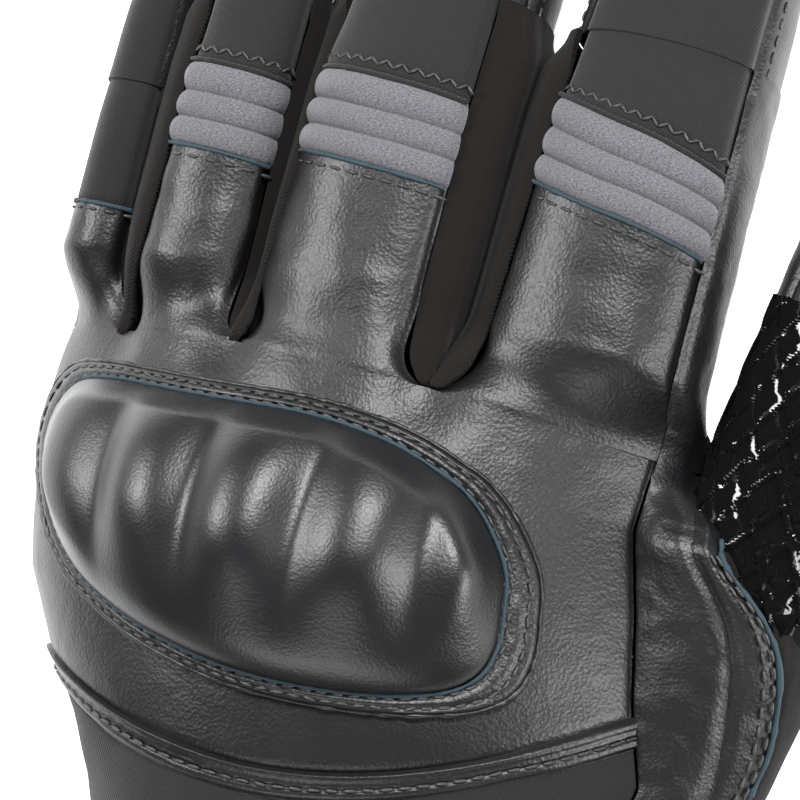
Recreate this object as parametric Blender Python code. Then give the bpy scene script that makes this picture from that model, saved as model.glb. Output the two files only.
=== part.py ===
"""A left-hand riding glove, lying palm down as if a hand filled it.

Frame: +X to the thumb side, +Y to the fingertips, +Z up from the back of the hand. The origin is the
centre of the flat underside of the heel slider, which the glove rests on. Sizes are in millimetres here
and become metres when a mesh is made.

Every sewn part is a panel: a solid between two sheets that follow a tube of oval sections. The hand, the
cuff, the thumb gusset and each finger are tubes of that kind, and they are hollow, for the hand.
"""

import math

import bmesh
import bpy
from mathutils import Matrix, Vector

MM = 0.001

# ---- driving dimensions -------------------------------------------------------------------------

# The glove is graded like a sewing pattern: the tables below are for the pattern's largest size, and every
# place moves in proportion to the glove's own width over the knuckles, length and height.
PATTERN_SIZE = (110.0, 275.0, 62.5)
WIDTH = 101.2
LENGTH = 253.0
HEIGHT = 57.5

WALL = 2.0  # leather or softshell with its backing
LINING = 0.8
GAP = 0.4  # clearance between two pieces that are sewn together
RAISED = 1.2  # clearance under a piece that lies on a curved one
SEAM_DEGREES = 1.6  # the same clearance, as an angle round a finger

# Hand tube: y, centre x, centre z, half width, half height, arch per mm squared
HAND_STATIONS = (
    (-50.0, 12.0, 28.0, 36.0, 19.5, 0.0),
    (-36.0, 11.5, 28.0, 36.5, 20.5, 0.0005),
    (-15.0, 11.0, 28.5, 39.5, 22.5, 0.001),
    (10.0, 8.0, 29.0, 45.5, 24.5, 0.002),
    (40.0, 2.5, 29.5, 52.0, 24.0, 0.003),
    (62.0, 0.0, 29.0, 55.0, 19.5, 0.004),
    (76.0, 0.5, 28.0, 55.0, 16.5, 0.0045),
)
ARCH_X = 12.0  # the arch of the knuckles peaks between the index and the middle finger
ROOT_Y = 78.0  # where the hand ends and the fingers begin, at the arch's peak
ROOT_CURVE = 0.0022  # how fast that line falls back to the sides, per mm
WRIST_END_Y = -50.0
WRIST_ROWS = (WRIST_END_Y, -36.0, -15.0)  # rows of points that every panel over the wrist has
HEEL_Y = 10.0  # where the hand widens beyond the wrist

# Angles round the hand, in degrees from +X towards +Z
SEAM_THUMB = 25.0  # the back's seam on the index side
SEAM_LITTLE = 168.0
PALM_THUMB = -50.0
PALM_LITTLE = 192.0
THUMB_HOLE = (-14.0, 52.5)  # y, from wrist to web

HEM_Y = 11.6  # lower edge of the leather on the back, at its lowest
HEM_X = 3.0
HEM_RISE = 0.0066  # it rises to both sides, per mm
HEM_WIDTH = 4.5
HEM_PROUD = 0.7  # the rolled hem stands above the leather
WRIST_SUNK = 0.3  # the softshell starts below it

# The guard's outline over the back of the hand: x as seen from above, y
GUARD_OUTLINE = (
    (39.2, 44.0), (38.2, 51.0), (35.0, 58.0), (29.8, 62.8), (24.0, 65.0), (16.5, 66.2), (8.0, 66.4),
    (0.0, 66.0), (-8.0, 65.2), (-17.0, 64.2), (-26.6, 63.4), (-34.6, 62.6), (-41.5, 60.6),
    (-45.6, 56.0), (-45.4, 49.0), (-40.4, 41.0), (-33.1, 35.2), (-23.2, 30.2), (-13.0, 26.6),
    (-3.0, 24.4), (7.6, 23.6), (17.4, 24.2), (25.8, 25.8), (32.4, 28.2), (36.4, 32.0), (38.8, 37.6),
)  # fmt: skip
GUARD_CENTRE = (-2.0, 46.0)
GUARD_WRAP_RADIUS = 57.2  # turns the outline's x into an angle round the hand
GUARD_HEIGHT = 5.0
GUARD_BUMP = 2.4
GUARD_WALL = 2.2
FOAM_GAP = 0.8
BUMPS = (31.5, 15.5, -2.0, -18.5, -34.5)  # x of the rounded bumps along the guard
BUMP_WIDTH = 6.2
BUMP_Y = 52.0
BUMP_LENGTH = 13.0
FLANGE_REACH = 1.13  # outer edge of the stitched flange, as a share of the guard's outline
FLANGE_WALL = 1.6

# The two pads under the palm: centre, half width, half length
SLIDER = ((6.0, -6.0), 18.0, 14.0)
PATCH = ((-9.0, 37.0), 25.0, 15.0)
PAD_CORNER = 3.0
PALM_SHORT = 6.0  # the palm ends behind the back by this much, to let the fingers close
SIDES_SHORT = 3.0

# Fingers: hinge x, hinge y, centre z, half width, half height, the three segment lengths, splay, curl,
# and how far the back's panels are turned from the top towards the little finger, in degrees
FINGERS = {
    "index": (37.2, 79.4, 25.0, 18.0, 15.0, (41.0, 25.0, 24.0), 0.6, 0.85, -4.0),
    "middle": (0.6, 80.4, 27.5, 17.4, 14.6, (38.4, 30.0, 28.0), 0.2, 1.00, 4.0),
    "ring": (-29.4, 78.6, 23.0, 11.5, 12.8, (36.8, 27.0, 26.0), -0.3, 0.85, 16.0),
    "little": (-49.6, 74.5, 14.6, 7.4, 10.4, (25.0, 20.0, 20.0), -0.6, 0.40, 30.0),
}
SEGMENT_PITCH = (4.0, 12.0, 20.0)  # how far each segment of a fully curled finger points down
FINGER_TAPER = (1.0, 0.94, 0.87, 0.78)  # size at the three hinges and at the fingertip
CUT_SPARE = 2.8  # degrees that a cut end clears beyond the hinge's range, on each side
AXIS_DROP = 0.34  # a hinge lies this share of the half height under the finger's middle
FINGER_FLEX = (55.0, 65.0, 40.0)  # how far each hinge closes, in degrees
BACK_ANGLES = (38.0, 142.0)
SIDE_ANGLES = (-38.0, 38.0)
ACCORDION_LENGTH = 13.4
ACCORDION_RIBS = 3
ACCORDION_PUFF = 1.3

# Thumb: the gusset's three sections, then the two moving segments
THUMB_ROOT = (Vector((46.0, 18.5, 20.0)), 31.0, 13.6)  # centre, half length along the hole, half height
THUMB_ROOT_LEAN = 31.0
THUMB_HINGE = Vector((70.5, 52.0, 19.0))
THUMB_HALF = (15.2, 15.0)
THUMB_YAW = (5.0, 5.0)  # direction of each segment, from +Y towards +X
THUMB_ROLL = 15.0  # the nail side leans out, away from the hand
THUMB_LENGTHS = (38.0, 34.0)
THUMB_TAPER = (1.0, 0.90, 0.78)
THUMB_CLOSE = 2.0  # how far the thumb swings towards the hand and away from it
THUMB_OPEN = 26.0
THUMB_FLEX = 40.0
GUSSET_SHIFT = Vector((5.5, -8.0, 0.0))  # bows the gusset's middle section outwards
GUSSET_MIDDLE = (0.47, 15.2)  # its width as a share of both ends' sum, and its half height
GUSSET_SPARE = 1.3  # the gusset's curved end is cut back a little more than its straight distance

# Cuff tube: y, centre x, centre z, half width, half height
CUFF_STATIONS = (
    (-39.0, 10.8, 28.2, 41.6, 25.4, 0.0),
    (-52.0, 12.0, 28.6, 42.4, 25.6, 0.0),
    (-70.0, 13.5, 29.4, 44.0, 26.4, 0.0),
    (-98.0, 15.5, 31.2, 49.0, 28.2, 0.0),
)
WRIST_Y = -42.0
BINDING_WIDTH = 5.0
BINDING_WALL = 1.4
STRAP_Y = (-74.0, -50.0)
STRAP_ANGLES = (38.0, 148.0)  # free end, sewn end
STRAP_WALL = 2.0
PAD_WALL = 1.2
LOOP_PAD_ANGLES = (48.0, 84.0)
HOOK_PAD_ANGLES = (50.0, 76.0)
TAB_ANGLES = (26.0, 36.5)
TAB_PROUD = 0.4  # the moulded tab is thicker than the strap, on both faces
PAD_INSET = 3.0  # from the strap's edges to the pads
ANCHOR_DEGREES = (2.0, 16.0)  # the sewn anchor lies this far beyond the strap's end
LOOP_ANGLES = (262.0, 278.0)
LOOP_REACH = (12.0, 4.0)  # the pull loop runs this far past the cuff's mouth and this far up the cuff


# ---- materials ----------------------------------------------------------------------------------

FINISHES = {
    "leather": ((0.020, 0.020, 0.022), 0.42),
    "guard_leather": ((0.024, 0.024, 0.027), 0.36),
    "softshell": ((0.020, 0.019, 0.018), 0.85),
    "stretch_grey": ((0.260, 0.250, 0.275), 0.80),
    "twill": ((0.030, 0.027, 0.024), 0.80),
    "grip_print": ((0.008, 0.008, 0.008), 0.50),
    "lining": ((0.050, 0.050, 0.055), 0.90),
    "foam": ((0.120, 0.120, 0.125), 0.90),
    "hook_loop": ((0.015, 0.015, 0.015), 0.95),
    "rubber": ((0.020, 0.020, 0.020), 0.60),
}


def graded(point):
    """A place in the pattern, in millimetres, as a place on the glove, in metres."""
    own = (WIDTH, LENGTH, HEIGHT)
    return Vector([c * size / pattern * MM for c, size, pattern in zip(point, own, PATTERN_SIZE)])


def finish(slot):
    """The material of that name, made once."""
    found = bpy.data.materials.get(slot)
    if found:
        return found
    colour, roughness = FINISHES[slot]
    made = bpy.data.materials.new(slot)
    made.use_nodes = True
    shader = made.node_tree.nodes["Principled BSDF"]
    shader.inputs["Base Color"].default_value = (*colour, 1.0)
    shader.inputs["Roughness"].default_value = roughness
    shader.inputs["Metallic"].default_value = 0.0
    return made


# ---- tubes of oval sections ---------------------------------------------------------------------


class Section:
    """An oval across a tube. Its arch lowers both sides, as the knuckles do."""

    def __init__(self, origin, across, up, half_width, half_height, arch=0.0):
        self.origin = Vector(origin)
        self.across = Vector(across).normalized()
        self.up = Vector(up).normalized()
        self.half_width = half_width
        self.half_height = half_height
        self.arch = arch

    def point(self, degrees, offset):
        turn = math.radians(degrees)
        side = (self.half_width + offset) * math.cos(turn)
        rise = (self.half_height + offset) * math.sin(turn)
        place = self.origin + self.across * side
        fall = self.arch * (place.x - ARCH_X) ** 2
        return place + self.up * (rise - fall)


def mixed(first, last, share):
    """The section between two others."""
    return Section(
        first.origin.lerp(last.origin, share),
        first.across.lerp(last.across, share),
        first.up.lerp(last.up, share),
        first.half_width + (last.half_width - first.half_width) * share,
        first.half_height + (last.half_height - first.half_height) * share,
        first.arch + (last.arch - first.arch) * share,
    )


class Tube:
    """Sections at rising distances along a line."""

    def __init__(self, stations):
        self.stations = sorted(stations, key=lambda station: station[0])

    def at(self, along):
        stations = self.stations
        if along <= stations[0][0]:
            return self.beyond(stations[0], stations[1], along)
        for first, last in zip(stations, stations[1:]):
            if along <= last[0]:
                share = (along - first[0]) / (last[0] - first[0])
                return mixed(first[1], last[1], share)
        return self.beyond(stations[-2], stations[-1], along)

    def beyond(self, first, last, along):
        share = (along - first[0]) / (last[0] - first[0])
        return mixed(first[1], last[1], share)

    def point(self, along, degrees, offset):
        return self.at(along).point(degrees, offset)


def level_tube(rows):
    """A tube along Y from rows of y, x, z, half width, half height, arch."""
    return Tube([(y, Section((x, y, z), (1, 0, 0), (0, 0, 1), a, b, k)) for y, x, z, a, b, k in rows])


def spread(first, last, count):
    """count + 1 even steps from first to last."""
    return [first + (last - first) * i / count for i in range(count + 1)]


def sheet(tube, alongs, angles, offset):
    """Rows of points on a tube. along may be a function of the angle, and offset of both."""
    rows = []
    for along in alongs:
        row = []
        for degrees in angles:
            place = along(degrees) if callable(along) else along
            lift = offset(place, degrees) if callable(offset) else offset
            row.append(tube.point(place, degrees, lift))
        rows.append(row)
    return rows


# ---- solids -------------------------------------------------------------------------------------


def add_object(name, mesh, slot, parent=None):
    made = bpy.data.objects.new(name, mesh)
    made.data.materials.append(finish(slot))
    bpy.context.scene.collection.objects.link(made)
    if parent:
        made.parent = parent
        made.matrix_parent_inverse = parent.matrix_world.inverted()
    mesh.shade_smooth()
    mesh.set_sharp_from_angle(angle=math.radians(40))
    return made


def add_sheet(work, rows):
    """A grid of faces through rows of points, and its vertices."""
    made = [[work.verts.new(graded(point)) for point in row] for row in rows]
    for upper, lower in zip(made, made[1:]):
        for i in range(len(upper) - 1):
            work.faces.new((upper[i], upper[i + 1], lower[i + 1], lower[i]))
    return made


def rim_of(grid):
    """The vertices round a grid's edge, in order."""
    first, last = grid[0], grid[-1]
    right = [row[-1] for row in grid[1:-1]]
    left = [row[0] for row in grid[1:-1]]
    return first + right + last[::-1] + left[::-1]


def panel(name, slot, outer, inner, parent=None):
    """A solid between two sheets of points, closed along their rims."""
    work = bmesh.new()
    rims = [rim_of(add_sheet(work, rows)) for rows in (outer, inner)]
    count = len(rims[0])
    for i in range(count):
        after = (i + 1) % count
        work.faces.new((rims[0][i], rims[0][after], rims[1][after], rims[1][i]))
    bmesh.ops.recalc_face_normals(work, faces=work.faces)
    return finished(name, slot, work, parent)


def ring(name, slot, outer, inner, parent=None):
    """A solid between two sheets that close round a tube. Each row of points is one loop."""
    work = bmesh.new()
    loops = []
    for rows in (outer, inner[::-1]):
        loops += [[work.verts.new(graded(point)) for point in row] for row in rows]
    for upper, lower in zip(loops, loops[1:] + loops[:1]):
        count = len(upper)
        for i in range(count):
            after = (i + 1) % count
            work.faces.new((upper[i], upper[after], lower[after], lower[i]))
    bmesh.ops.recalc_face_normals(work, faces=work.faces)
    return finished(name, slot, work, parent)


def dome(name, slot, outer, inner, parent=None):
    """A solid between two sheets whose rows are loops round one pole, their first row."""
    work = bmesh.new()
    rims = []
    for rows in (outer, inner):
        pole = work.verts.new(graded(rows[0][0]))
        loops = [[work.verts.new(graded(point)) for point in row] for row in rows[1:]]
        count = len(loops[0])
        for i in range(count):
            work.faces.new((pole, loops[0][i], loops[0][(i + 1) % count]))
        for upper, lower in zip(loops, loops[1:]):
            for i in range(count):
                after = (i + 1) % count
                work.faces.new((upper[i], upper[after], lower[after], lower[i]))
        rims.append(loops[-1])
    for i in range(len(rims[0])):
        after = (i + 1) % len(rims[0])
        work.faces.new((rims[0][i], rims[0][after], rims[1][after], rims[1][i]))
    bmesh.ops.recalc_face_normals(work, faces=work.faces)
    return finished(name, slot, work, parent)


def finished(name, slot, work, parent):
    mesh = bpy.data.meshes.new(name)
    work.to_mesh(mesh)
    work.free()
    return add_object(name, mesh, slot, parent)


def hinge(name, place, axis, parent=None):
    """An empty whose own X is a hinge's axis."""
    made = bpy.data.objects.new("hinge_" + name, None)
    made.empty_display_size = 10 * MM
    turn = Vector(axis).to_track_quat("X", "Z").to_matrix().to_4x4()
    made.matrix_world = Matrix.Translation(graded(place)) @ turn
    bpy.context.scene.collection.objects.link(made)
    bpy.context.view_layer.update()
    if parent:
        made.parent = parent
        made.matrix_parent_inverse = parent.matrix_world.inverted()
        bpy.context.view_layer.update()
    return made


# ---- the hand -----------------------------------------------------------------------------------


def root_y(x):
    """Where the hand's panels end, ahead of the fingers."""
    return ROOT_Y - ROOT_CURVE * (x - ARCH_X) ** 2


def hem_y(x):
    return HEM_Y + HEM_RISE * (x - HEM_X) ** 2


def along_hand(hand, fall):
    """Turns a function of x into one of the angle round the hand, at about that y."""

    def place(degrees):
        x = hand.point(fall(0.0), degrees, 0.0).x
        return fall(x)

    return place


def hand_cuts(hand):
    """The lines across the back where its panels meet, as functions of the angle."""
    end = along_hand(hand, root_y)
    hem = along_hand(hand, hem_y)
    return end, hem


def steps_between(first, last, count):
    """Functions of the angle, evenly spread between two others."""

    def line(share):
        return lambda degrees: first(degrees) + (last(degrees) - first(degrees)) * share

    return [line(i / count) for i in range(count + 1)]


def back_of_hand(hand):
    end, hem = hand_cuts(hand)
    angles = spread(SEAM_THUMB, SEAM_LITTLE, 15)
    rows = steps_between(lambda a: hem(a) + GAP, end, 7)
    panel("back_panel", "leather", sheet(hand, rows, angles, 0.0), sheet(hand, rows, angles, -WALL))

    rows = steps_between(lambda a: hem(a) - HEM_WIDTH, lambda a: hem(a), 1)
    outer = sheet(hand, rows, angles, HEM_PROUD)
    panel("back_hem", "leather", outer, sheet(hand, rows, angles, -WALL))

    rows = list(WRIST_ROWS)
    rows += steps_between(lambda a: HEEL_Y / 2, lambda a: hem(a) - HEM_WIDTH - GAP, 1)
    outer = sheet(hand, rows, angles, -WRIST_SUNK)
    panel("wrist_back_panel", "softshell", outer, sheet(hand, rows, angles, -WRIST_SUNK - WALL))


def sides_of_hand(hand):
    end, _ = hand_cuts(hand)
    angles = spread(SEAM_LITTLE + SEAM_DEGREES, PALM_LITTLE - SEAM_DEGREES, 3)
    rows = list(WRIST_ROWS)
    rows += steps_between(lambda a: HEEL_Y, lambda a: end(a) - SIDES_SHORT, 4)
    panel("little_side_panel", "leather", sheet(hand, rows, angles, 0.0), sheet(hand, rows, angles, -WALL))

    angles = spread(PALM_THUMB + SEAM_DEGREES, SEAM_THUMB - SEAM_DEGREES, 5)
    rows = steps_between(lambda a: THUMB_HOLE[1] + GAP, lambda a: end(a) - SIDES_SHORT, 2)
    panel("index_side_strip", "leather", sheet(hand, rows, angles, 0.0), sheet(hand, rows, angles, -WALL))

    rows = [WRIST_ROWS[0], WRIST_ROWS[1], THUMB_HOLE[0] - GAP]
    outer = sheet(hand, rows, angles, 0.0)
    panel("thumb_side_wrist_panel", "softshell", outer, sheet(hand, rows, angles, -WALL))


def palm(hand):
    """The palm ends further back than the back does, to let the fingers close."""
    end, _ = hand_cuts(hand)
    angles = spread(PALM_LITTLE, 360.0 + PALM_THUMB, 13)
    rows = list(WRIST_ROWS)
    rows += steps_between(lambda a: HEEL_Y, lambda a: end(a) - PALM_SHORT, 4)
    panel("palm_panel", "leather", sheet(hand, rows, angles, 0.0), sheet(hand, rows, angles, -WALL))


def flat_pad(hand, name, slot, centre, half_x, half_y):
    """A pad under the palm with a flat underside at z = 0 and clipped corners. Its top follows the palm."""
    columns = spread(centre[0] - half_x, centre[0] + half_x, 6)
    top, flat = [], []
    for y in spread(centre[1] - half_y, centre[1] + half_y, 6):
        narrowed = PAD_CORNER if abs(y - centre[1]) > half_y * 0.9 else 0.0
        share = 1.0 - narrowed / half_x
        section = hand.at(y)
        row, under = [], []
        for column in columns:
            x = centre[0] + (column - centre[0]) * share
            side = (x - section.origin.x) / (section.half_width + RAISED)
            row.append(section.point(-math.degrees(math.acos(side)), RAISED))
            under.append(Vector((x, y, 0.0)))
        top.append(row)
        flat.append(under)
    panel(name, slot, flat, top)


def lining_of_hand(hand):
    angles = spread(0.0, 360.0, 20)[:-1]
    rows = [WRIST_ROWS[0] + 1.0, WRIST_ROWS[1], THUMB_HOLE[0] - 2.0]
    inside = -WALL - WRIST_SUNK - RAISED
    outer = sheet(hand, rows, angles, inside)
    ring("wrist_lining", "lining", outer, sheet(hand, rows, angles, inside - LINING))
    angles = spread(SEAM_THUMB + 8.0, SEAM_LITTLE, 12)
    rows = [THUMB_HOLE[0], HEEL_Y, 40.0, 62.0]
    outer = sheet(hand, rows, angles, inside)
    panel("back_lining", "lining", outer, sheet(hand, rows, angles, inside - LINING))


# ---- the knuckle guard --------------------------------------------------------------------------


def guard_places(share):
    """Angle, y and x of points at that share of the way to the guard's outline."""
    places = []
    for x, y in GUARD_OUTLINE:
        x = GUARD_CENTRE[0] + (x - GUARD_CENTRE[0]) * share
        y = GUARD_CENTRE[1] + (y - GUARD_CENTRE[1]) * share
        side = max(-0.99, min(0.99, x / GUARD_WRAP_RADIUS))
        places.append((math.degrees(math.acos(side)), y, x))
    return places


def guard_height(share, x, y):
    """Height of the guard over the leather: a dome with five bumps that fade towards the wrist."""
    rise = GUARD_HEIGHT * (1.0 - share**4)
    across = sum(math.exp(-(((x - bump) / BUMP_WIDTH) ** 2)) for bump in BUMPS)
    fade = math.exp(-(((y - BUMP_Y) / BUMP_LENGTH) ** 2))
    return rise + GUARD_BUMP * across * fade * (1.0 - share**2)


def guard_sheet(hand, shares, lift):
    """Loops of the guard's surface, at that height over it."""
    rows = []
    for share in shares:
        places = guard_places(share)
        rows.append([hand.point(y, angle, guard_height(share, x, y) + lift) for angle, y, x in places])
    return rows


def level_sheet(hand, shares, lift):
    """Loops at one height over the leather."""
    return [[hand.point(y, angle, lift) for angle, y, _ in guard_places(share)] for share in shares]


def knuckle_guard(hand):
    shares = [0.0, 0.25, 0.5, 0.7, 0.86, 0.95, 1.0]
    outer = guard_sheet(hand, shares, RAISED + GUARD_WALL)
    dome("knuckle_guard", "guard_leather", outer, guard_sheet(hand, shares, RAISED))
    shares = [0.0, 0.25, 0.5, 0.7, 0.8]
    outer = guard_sheet(hand, shares, RAISED - FOAM_GAP)
    dome("knuckle_foam", "foam", outer, level_sheet(hand, shares, RAISED))
    shares = [1.02, FLANGE_REACH]
    outer = level_sheet(hand, shares, RAISED + FLANGE_WALL)
    ring("guard_flange", "leather", outer, level_sheet(hand, shares, RAISED))


# ---- fingers ------------------------------------------------------------------------------------


def finger_line(spec):
    """The hinge points and the direction of each segment of a finger."""
    x, y, z, _, _, lengths, splay, curl, _ = spec
    yaw = math.radians(splay)
    place = Vector((x, y, z))
    places, ways = [place], []
    for length, pitch in zip(lengths, SEGMENT_PITCH):
        dip = math.radians(pitch * curl)
        way = Vector((math.sin(yaw) * math.cos(dip), math.cos(yaw) * math.cos(dip), -math.sin(dip)))
        ways.append(way)
        place = place + way * length
        places.append(place)
    return places, ways


def segment_tube(start, way, across, length, half_sizes, tapers):
    """A straight tube whose size goes from the first taper to the last."""
    up = across.cross(way)
    ends = []
    for along, taper in ((0.0, tapers[0]), (length, tapers[1])):
        half_width, half_height = (size * taper for size in half_sizes)
        ends.append((along, Section(start + way * along, across, up, half_width, half_height)))
    return Tube(ends)


def cut_for(section, axis_point, closing, close, back=0.0):
    """How far a segment's end is cut back at each angle, so that it clears its neighbour.

    closing points to the side that closes by close degrees. The other side closes by back degrees.
    """

    def cut(degrees):
        side = (section.point(degrees, 0.0) - axis_point).dot(closing)
        half = close / 2 if side > 0 else back / 2
        return GAP / 2 + abs(side) * math.tan(math.radians(half + CUT_SPARE))

    return cut


def finger(name, spec):
    """Three hollow segments, each hinged to the one before."""
    _, _, _, half_width, half_height, lengths, splay, curl, turn = spec
    places, ways = finger_line(spec)
    yaw = math.radians(splay)
    across = Vector((math.cos(yaw), -math.sin(yaw), 0.0))
    hinges, axes, tubes = [], [], []
    for i, part in enumerate(("base", "mid", "tip")):
        up = across.cross(ways[i])
        axes.append(places[i] - up * AXIS_DROP * half_height * FINGER_TAPER[i])
        hinges.append(hinge(f"{name}_{part}", axes[i], -across, hinges[-1] if hinges else None))
        tapers = FINGER_TAPER[i : i + 2]
        tubes.append(segment_tube(places[i], ways[i], across, lengths[i], (half_width, half_height), tapers))
    starts, ends = [], []
    for i in range(3):
        bend = FINGER_FLEX[i]
        if i:
            bend += (SEGMENT_PITCH[i] - SEGMENT_PITCH[i - 1]) * curl
            last = tubes[i - 1].at(lengths[i - 1])
            ends.append(cut_for(last, axes[i], -last.up, bend))
        first = tubes[i].at(0.0)
        starts.append(cut_for(first, axes[i], -first.up, bend))
    base_segment(name, tubes[0], starts[0], ends[0], lengths[0], hinges[0], turn)
    mid_segment(name, tubes[1], starts[1], ends[1], lengths[1], hinges[1], turn)
    tip_segment(name, tubes[2], starts[2], lengths[2], hinges[2], half_width * FINGER_TAPER[3])


def segment_rows(start, end, length, count=2):
    """Rows of a segment, from its cut start to its cut end."""
    return steps_between(start, lambda degrees: length - end(degrees), count)


def base_segment(name, tube, start, end, length, parent, turn):
    back = [angle + turn for angle in BACK_ANGLES]
    side = [angle + turn for angle in SIDE_ANGLES]
    ribbed = name != "little"
    stop = ACCORDION_LENGTH if ribbed else 0.0
    angles = spread(back[0] + SEAM_DEGREES, back[1] - SEAM_DEGREES, 6)
    rows = segment_rows(start, lambda a: end(a) + stop, length)
    outer = sheet(tube, rows, angles, 0.0)
    panel(f"{name}_base_back", "leather", outer, sheet(tube, rows, angles, -WALL), parent)
    if ribbed:
        accordion(name, tube, length - ACCORDION_LENGTH + GAP, length - GAP / 2, angles, parent)
    rows = segment_rows(start, end, length)
    for label, first in (("thumb_side", side[0]), ("little_side", 180.0 + side[0])):
        outer_wall = (name, label) in (("index", "thumb_side"), ("little", "little_side"))
        what = "side_wall" if outer_wall else "fourchette"
        angles = spread(first + SEAM_DEGREES, first + side[1] - side[0] - SEAM_DEGREES, 4)
        outer = sheet(tube, rows, angles, 0.0)
        inner = sheet(tube, rows, angles, -WALL)
        panel(f"{name}_{what}_{label}", "leather" if outer_wall else "twill", outer, inner, parent)
    angles = spread(180.0 + back[0] + SEAM_DEGREES, 180.0 + back[1] - SEAM_DEGREES, 6)
    outer = sheet(tube, rows, angles, 0.0)
    panel(f"{name}_base_palm", "leather", outer, sheet(tube, rows, angles, -WALL), parent)


def accordion(name, tube, first, last, angles, parent):
    """A stretch panel of padded ribs across the back of the middle knuckle."""
    steps = spread(first, last, ACCORDION_RIBS * 4)

    def puff(along, degrees):
        return ACCORDION_PUFF * abs(math.sin((along - first) / (last - first) * ACCORDION_RIBS * math.pi))

    outer = sheet(tube, steps, angles, puff)
    panel(f"{name}_accordion", "stretch_grey", outer, sheet(tube, steps, angles, -WALL), parent)


def mid_segment(name, tube, start, end, length, parent, turn):
    rows = segment_rows(start, end, length)
    back = [angle + turn for angle in BACK_ANGLES]
    angles = spread(back[0] + SEAM_DEGREES, back[1] - SEAM_DEGREES, 6)
    outer = sheet(tube, rows, angles, 0.0)
    panel(f"{name}_mid_back", "softshell", outer, sheet(tube, rows, angles, -WALL), parent)
    angles = spread(back[1], 360.0 + back[0], 14)
    outer = sheet(tube, rows, angles, 0.0)
    panel(f"{name}_mid_palm", "leather", outer, sheet(tube, rows, angles, -WALL), parent)


def tip_segment(name, tube, start, length, parent, radius):
    """A thimble with a round end."""
    angles = spread(0.0, 360.0, 16)[:-1]
    straight = length - radius

    def shrink(offset):
        """Rows of loops, from the cut end to the pole."""
        rows = [[tube.point(start(a), a, offset) for a in angles]]
        rows.append([tube.point(straight * 0.55, a, offset) for a in angles])
        for turn in (0, 30, 55, 75):
            along = straight + (radius + offset) * math.sin(math.radians(turn))
            section = tube.at(straight)
            size = math.cos(math.radians(turn))
            way = tube.at(length).origin - tube.at(0.0).origin
            centre = tube.at(0.0).origin + way.normalized() * along
            oval = Section(centre, section.across, section.up, section.half_width, section.half_height)
            row = [centre + (oval.point(a, offset) - centre) * size for a in angles]
            rows.append(row)
        way = (tube.at(length).origin - tube.at(0.0).origin).normalized()
        pole = tube.at(0.0).origin + way * (straight + radius + offset)
        return [[pole] * len(angles)] + rows[::-1]

    dome(f"{name}_tip", "leather", shrink(0.0), shrink(-WALL), parent)


# ---- the thumb ----------------------------------------------------------------------------------


def thumb_axes(index):
    """Direction, across and up of one of the thumb's segments."""
    yaw, roll = math.radians(THUMB_YAW[index]), math.radians(THUMB_ROLL)
    way = Vector((math.sin(yaw), math.cos(yaw), 0.0))
    level = Vector((math.cos(yaw), -math.sin(yaw), 0.0))
    across = level * math.cos(roll) - Vector((0, 0, 1)) * math.sin(roll)
    return way, across, across.cross(way)


def thumb_gusset():
    """The leather that leads from the opening in the hand's side to the thumb."""
    centre, half_length, half_height = THUMB_ROOT
    lean = math.radians(THUMB_ROOT_LEAN)
    root = Section(centre, (0, -1, 0), (math.sin(lean), 0, math.cos(lean)), half_length, half_height)
    way, across, up = thumb_axes(0)
    last = Section(THUMB_HINGE, across, up, *THUMB_HALF)
    middle = mixed(root, last, 0.5)
    middle.origin = middle.origin + GUSSET_SHIFT
    middle.half_width = (root.half_width + last.half_width) * GUSSET_MIDDLE[0]
    middle.half_height = GUSSET_MIDDLE[1]
    gusset = Tube([(0.0, root), (0.5, middle), (1.0, last)])
    cut = cut_for(last, THUMB_HINGE, Vector((1, 0, 0)), THUMB_OPEN, THUMB_CLOSE)
    reach = (last.origin - middle.origin).length * 2.0
    rows = steps_between(lambda a: 0.0, lambda a: 1.0 - cut(a) / reach * GUSSET_SPARE, 4)
    for label, slot, span in (("back", "leather", (0.0, 180.0)), ("palm", "grip_print", (180.0, 360.0))):
        angles = spread(span[0] + 2.0, span[1] - 2.0, 9)
        outer = sheet(gusset, rows, angles, 0.0)
        panel(f"thumb_gusset_{label}", slot, outer, sheet(gusset, rows, angles, -WALL))


def thumb():
    thumb_gusset()
    length = THUMB_LENGTHS[0]
    way, across, up = thumb_axes(0)
    knuckle = THUMB_HINGE + way * length
    base = hinge("thumb_base", THUMB_HINGE, (0, 0, 1))
    next_way, next_across, next_up = thumb_axes(1)
    axis_point = knuckle - next_up * AXIS_DROP * THUMB_HALF[1] * THUMB_TAPER[1]
    tip = hinge("thumb_tip", axis_point, -next_across, base)
    tube = segment_tube(THUMB_HINGE, way, across, length, THUMB_HALF, THUMB_TAPER[:2])
    start = cut_for(tube.at(0.0), THUMB_HINGE, Vector((1, 0, 0)), THUMB_OPEN, THUMB_CLOSE)
    end = cut_for(tube.at(length), axis_point, -up, THUMB_FLEX, THUMB_YAW[0] - THUMB_YAW[1])
    rows = segment_rows(start, end, length)
    for label, slot, span in (("back", "twill", (-90.0, 90.0)), ("palm", "grip_print", (90.0, 270.0))):
        angles = spread(span[0] + 1.2, span[1] - 1.2, 8)
        outer = sheet(tube, rows, angles, 0.0)
        panel(f"thumb_base_{label}", slot, outer, sheet(tube, rows, angles, -WALL), base)
    tube = segment_tube(knuckle, next_way, next_across, THUMB_LENGTHS[1], THUMB_HALF, THUMB_TAPER[1:])
    start = cut_for(tube.at(0.0), axis_point, -next_up, THUMB_FLEX, THUMB_YAW[0] - THUMB_YAW[1])
    tip_segment("thumb", tube, start, THUMB_LENGTHS[1], tip, THUMB_HALF[0] * THUMB_TAPER[2])


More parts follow.
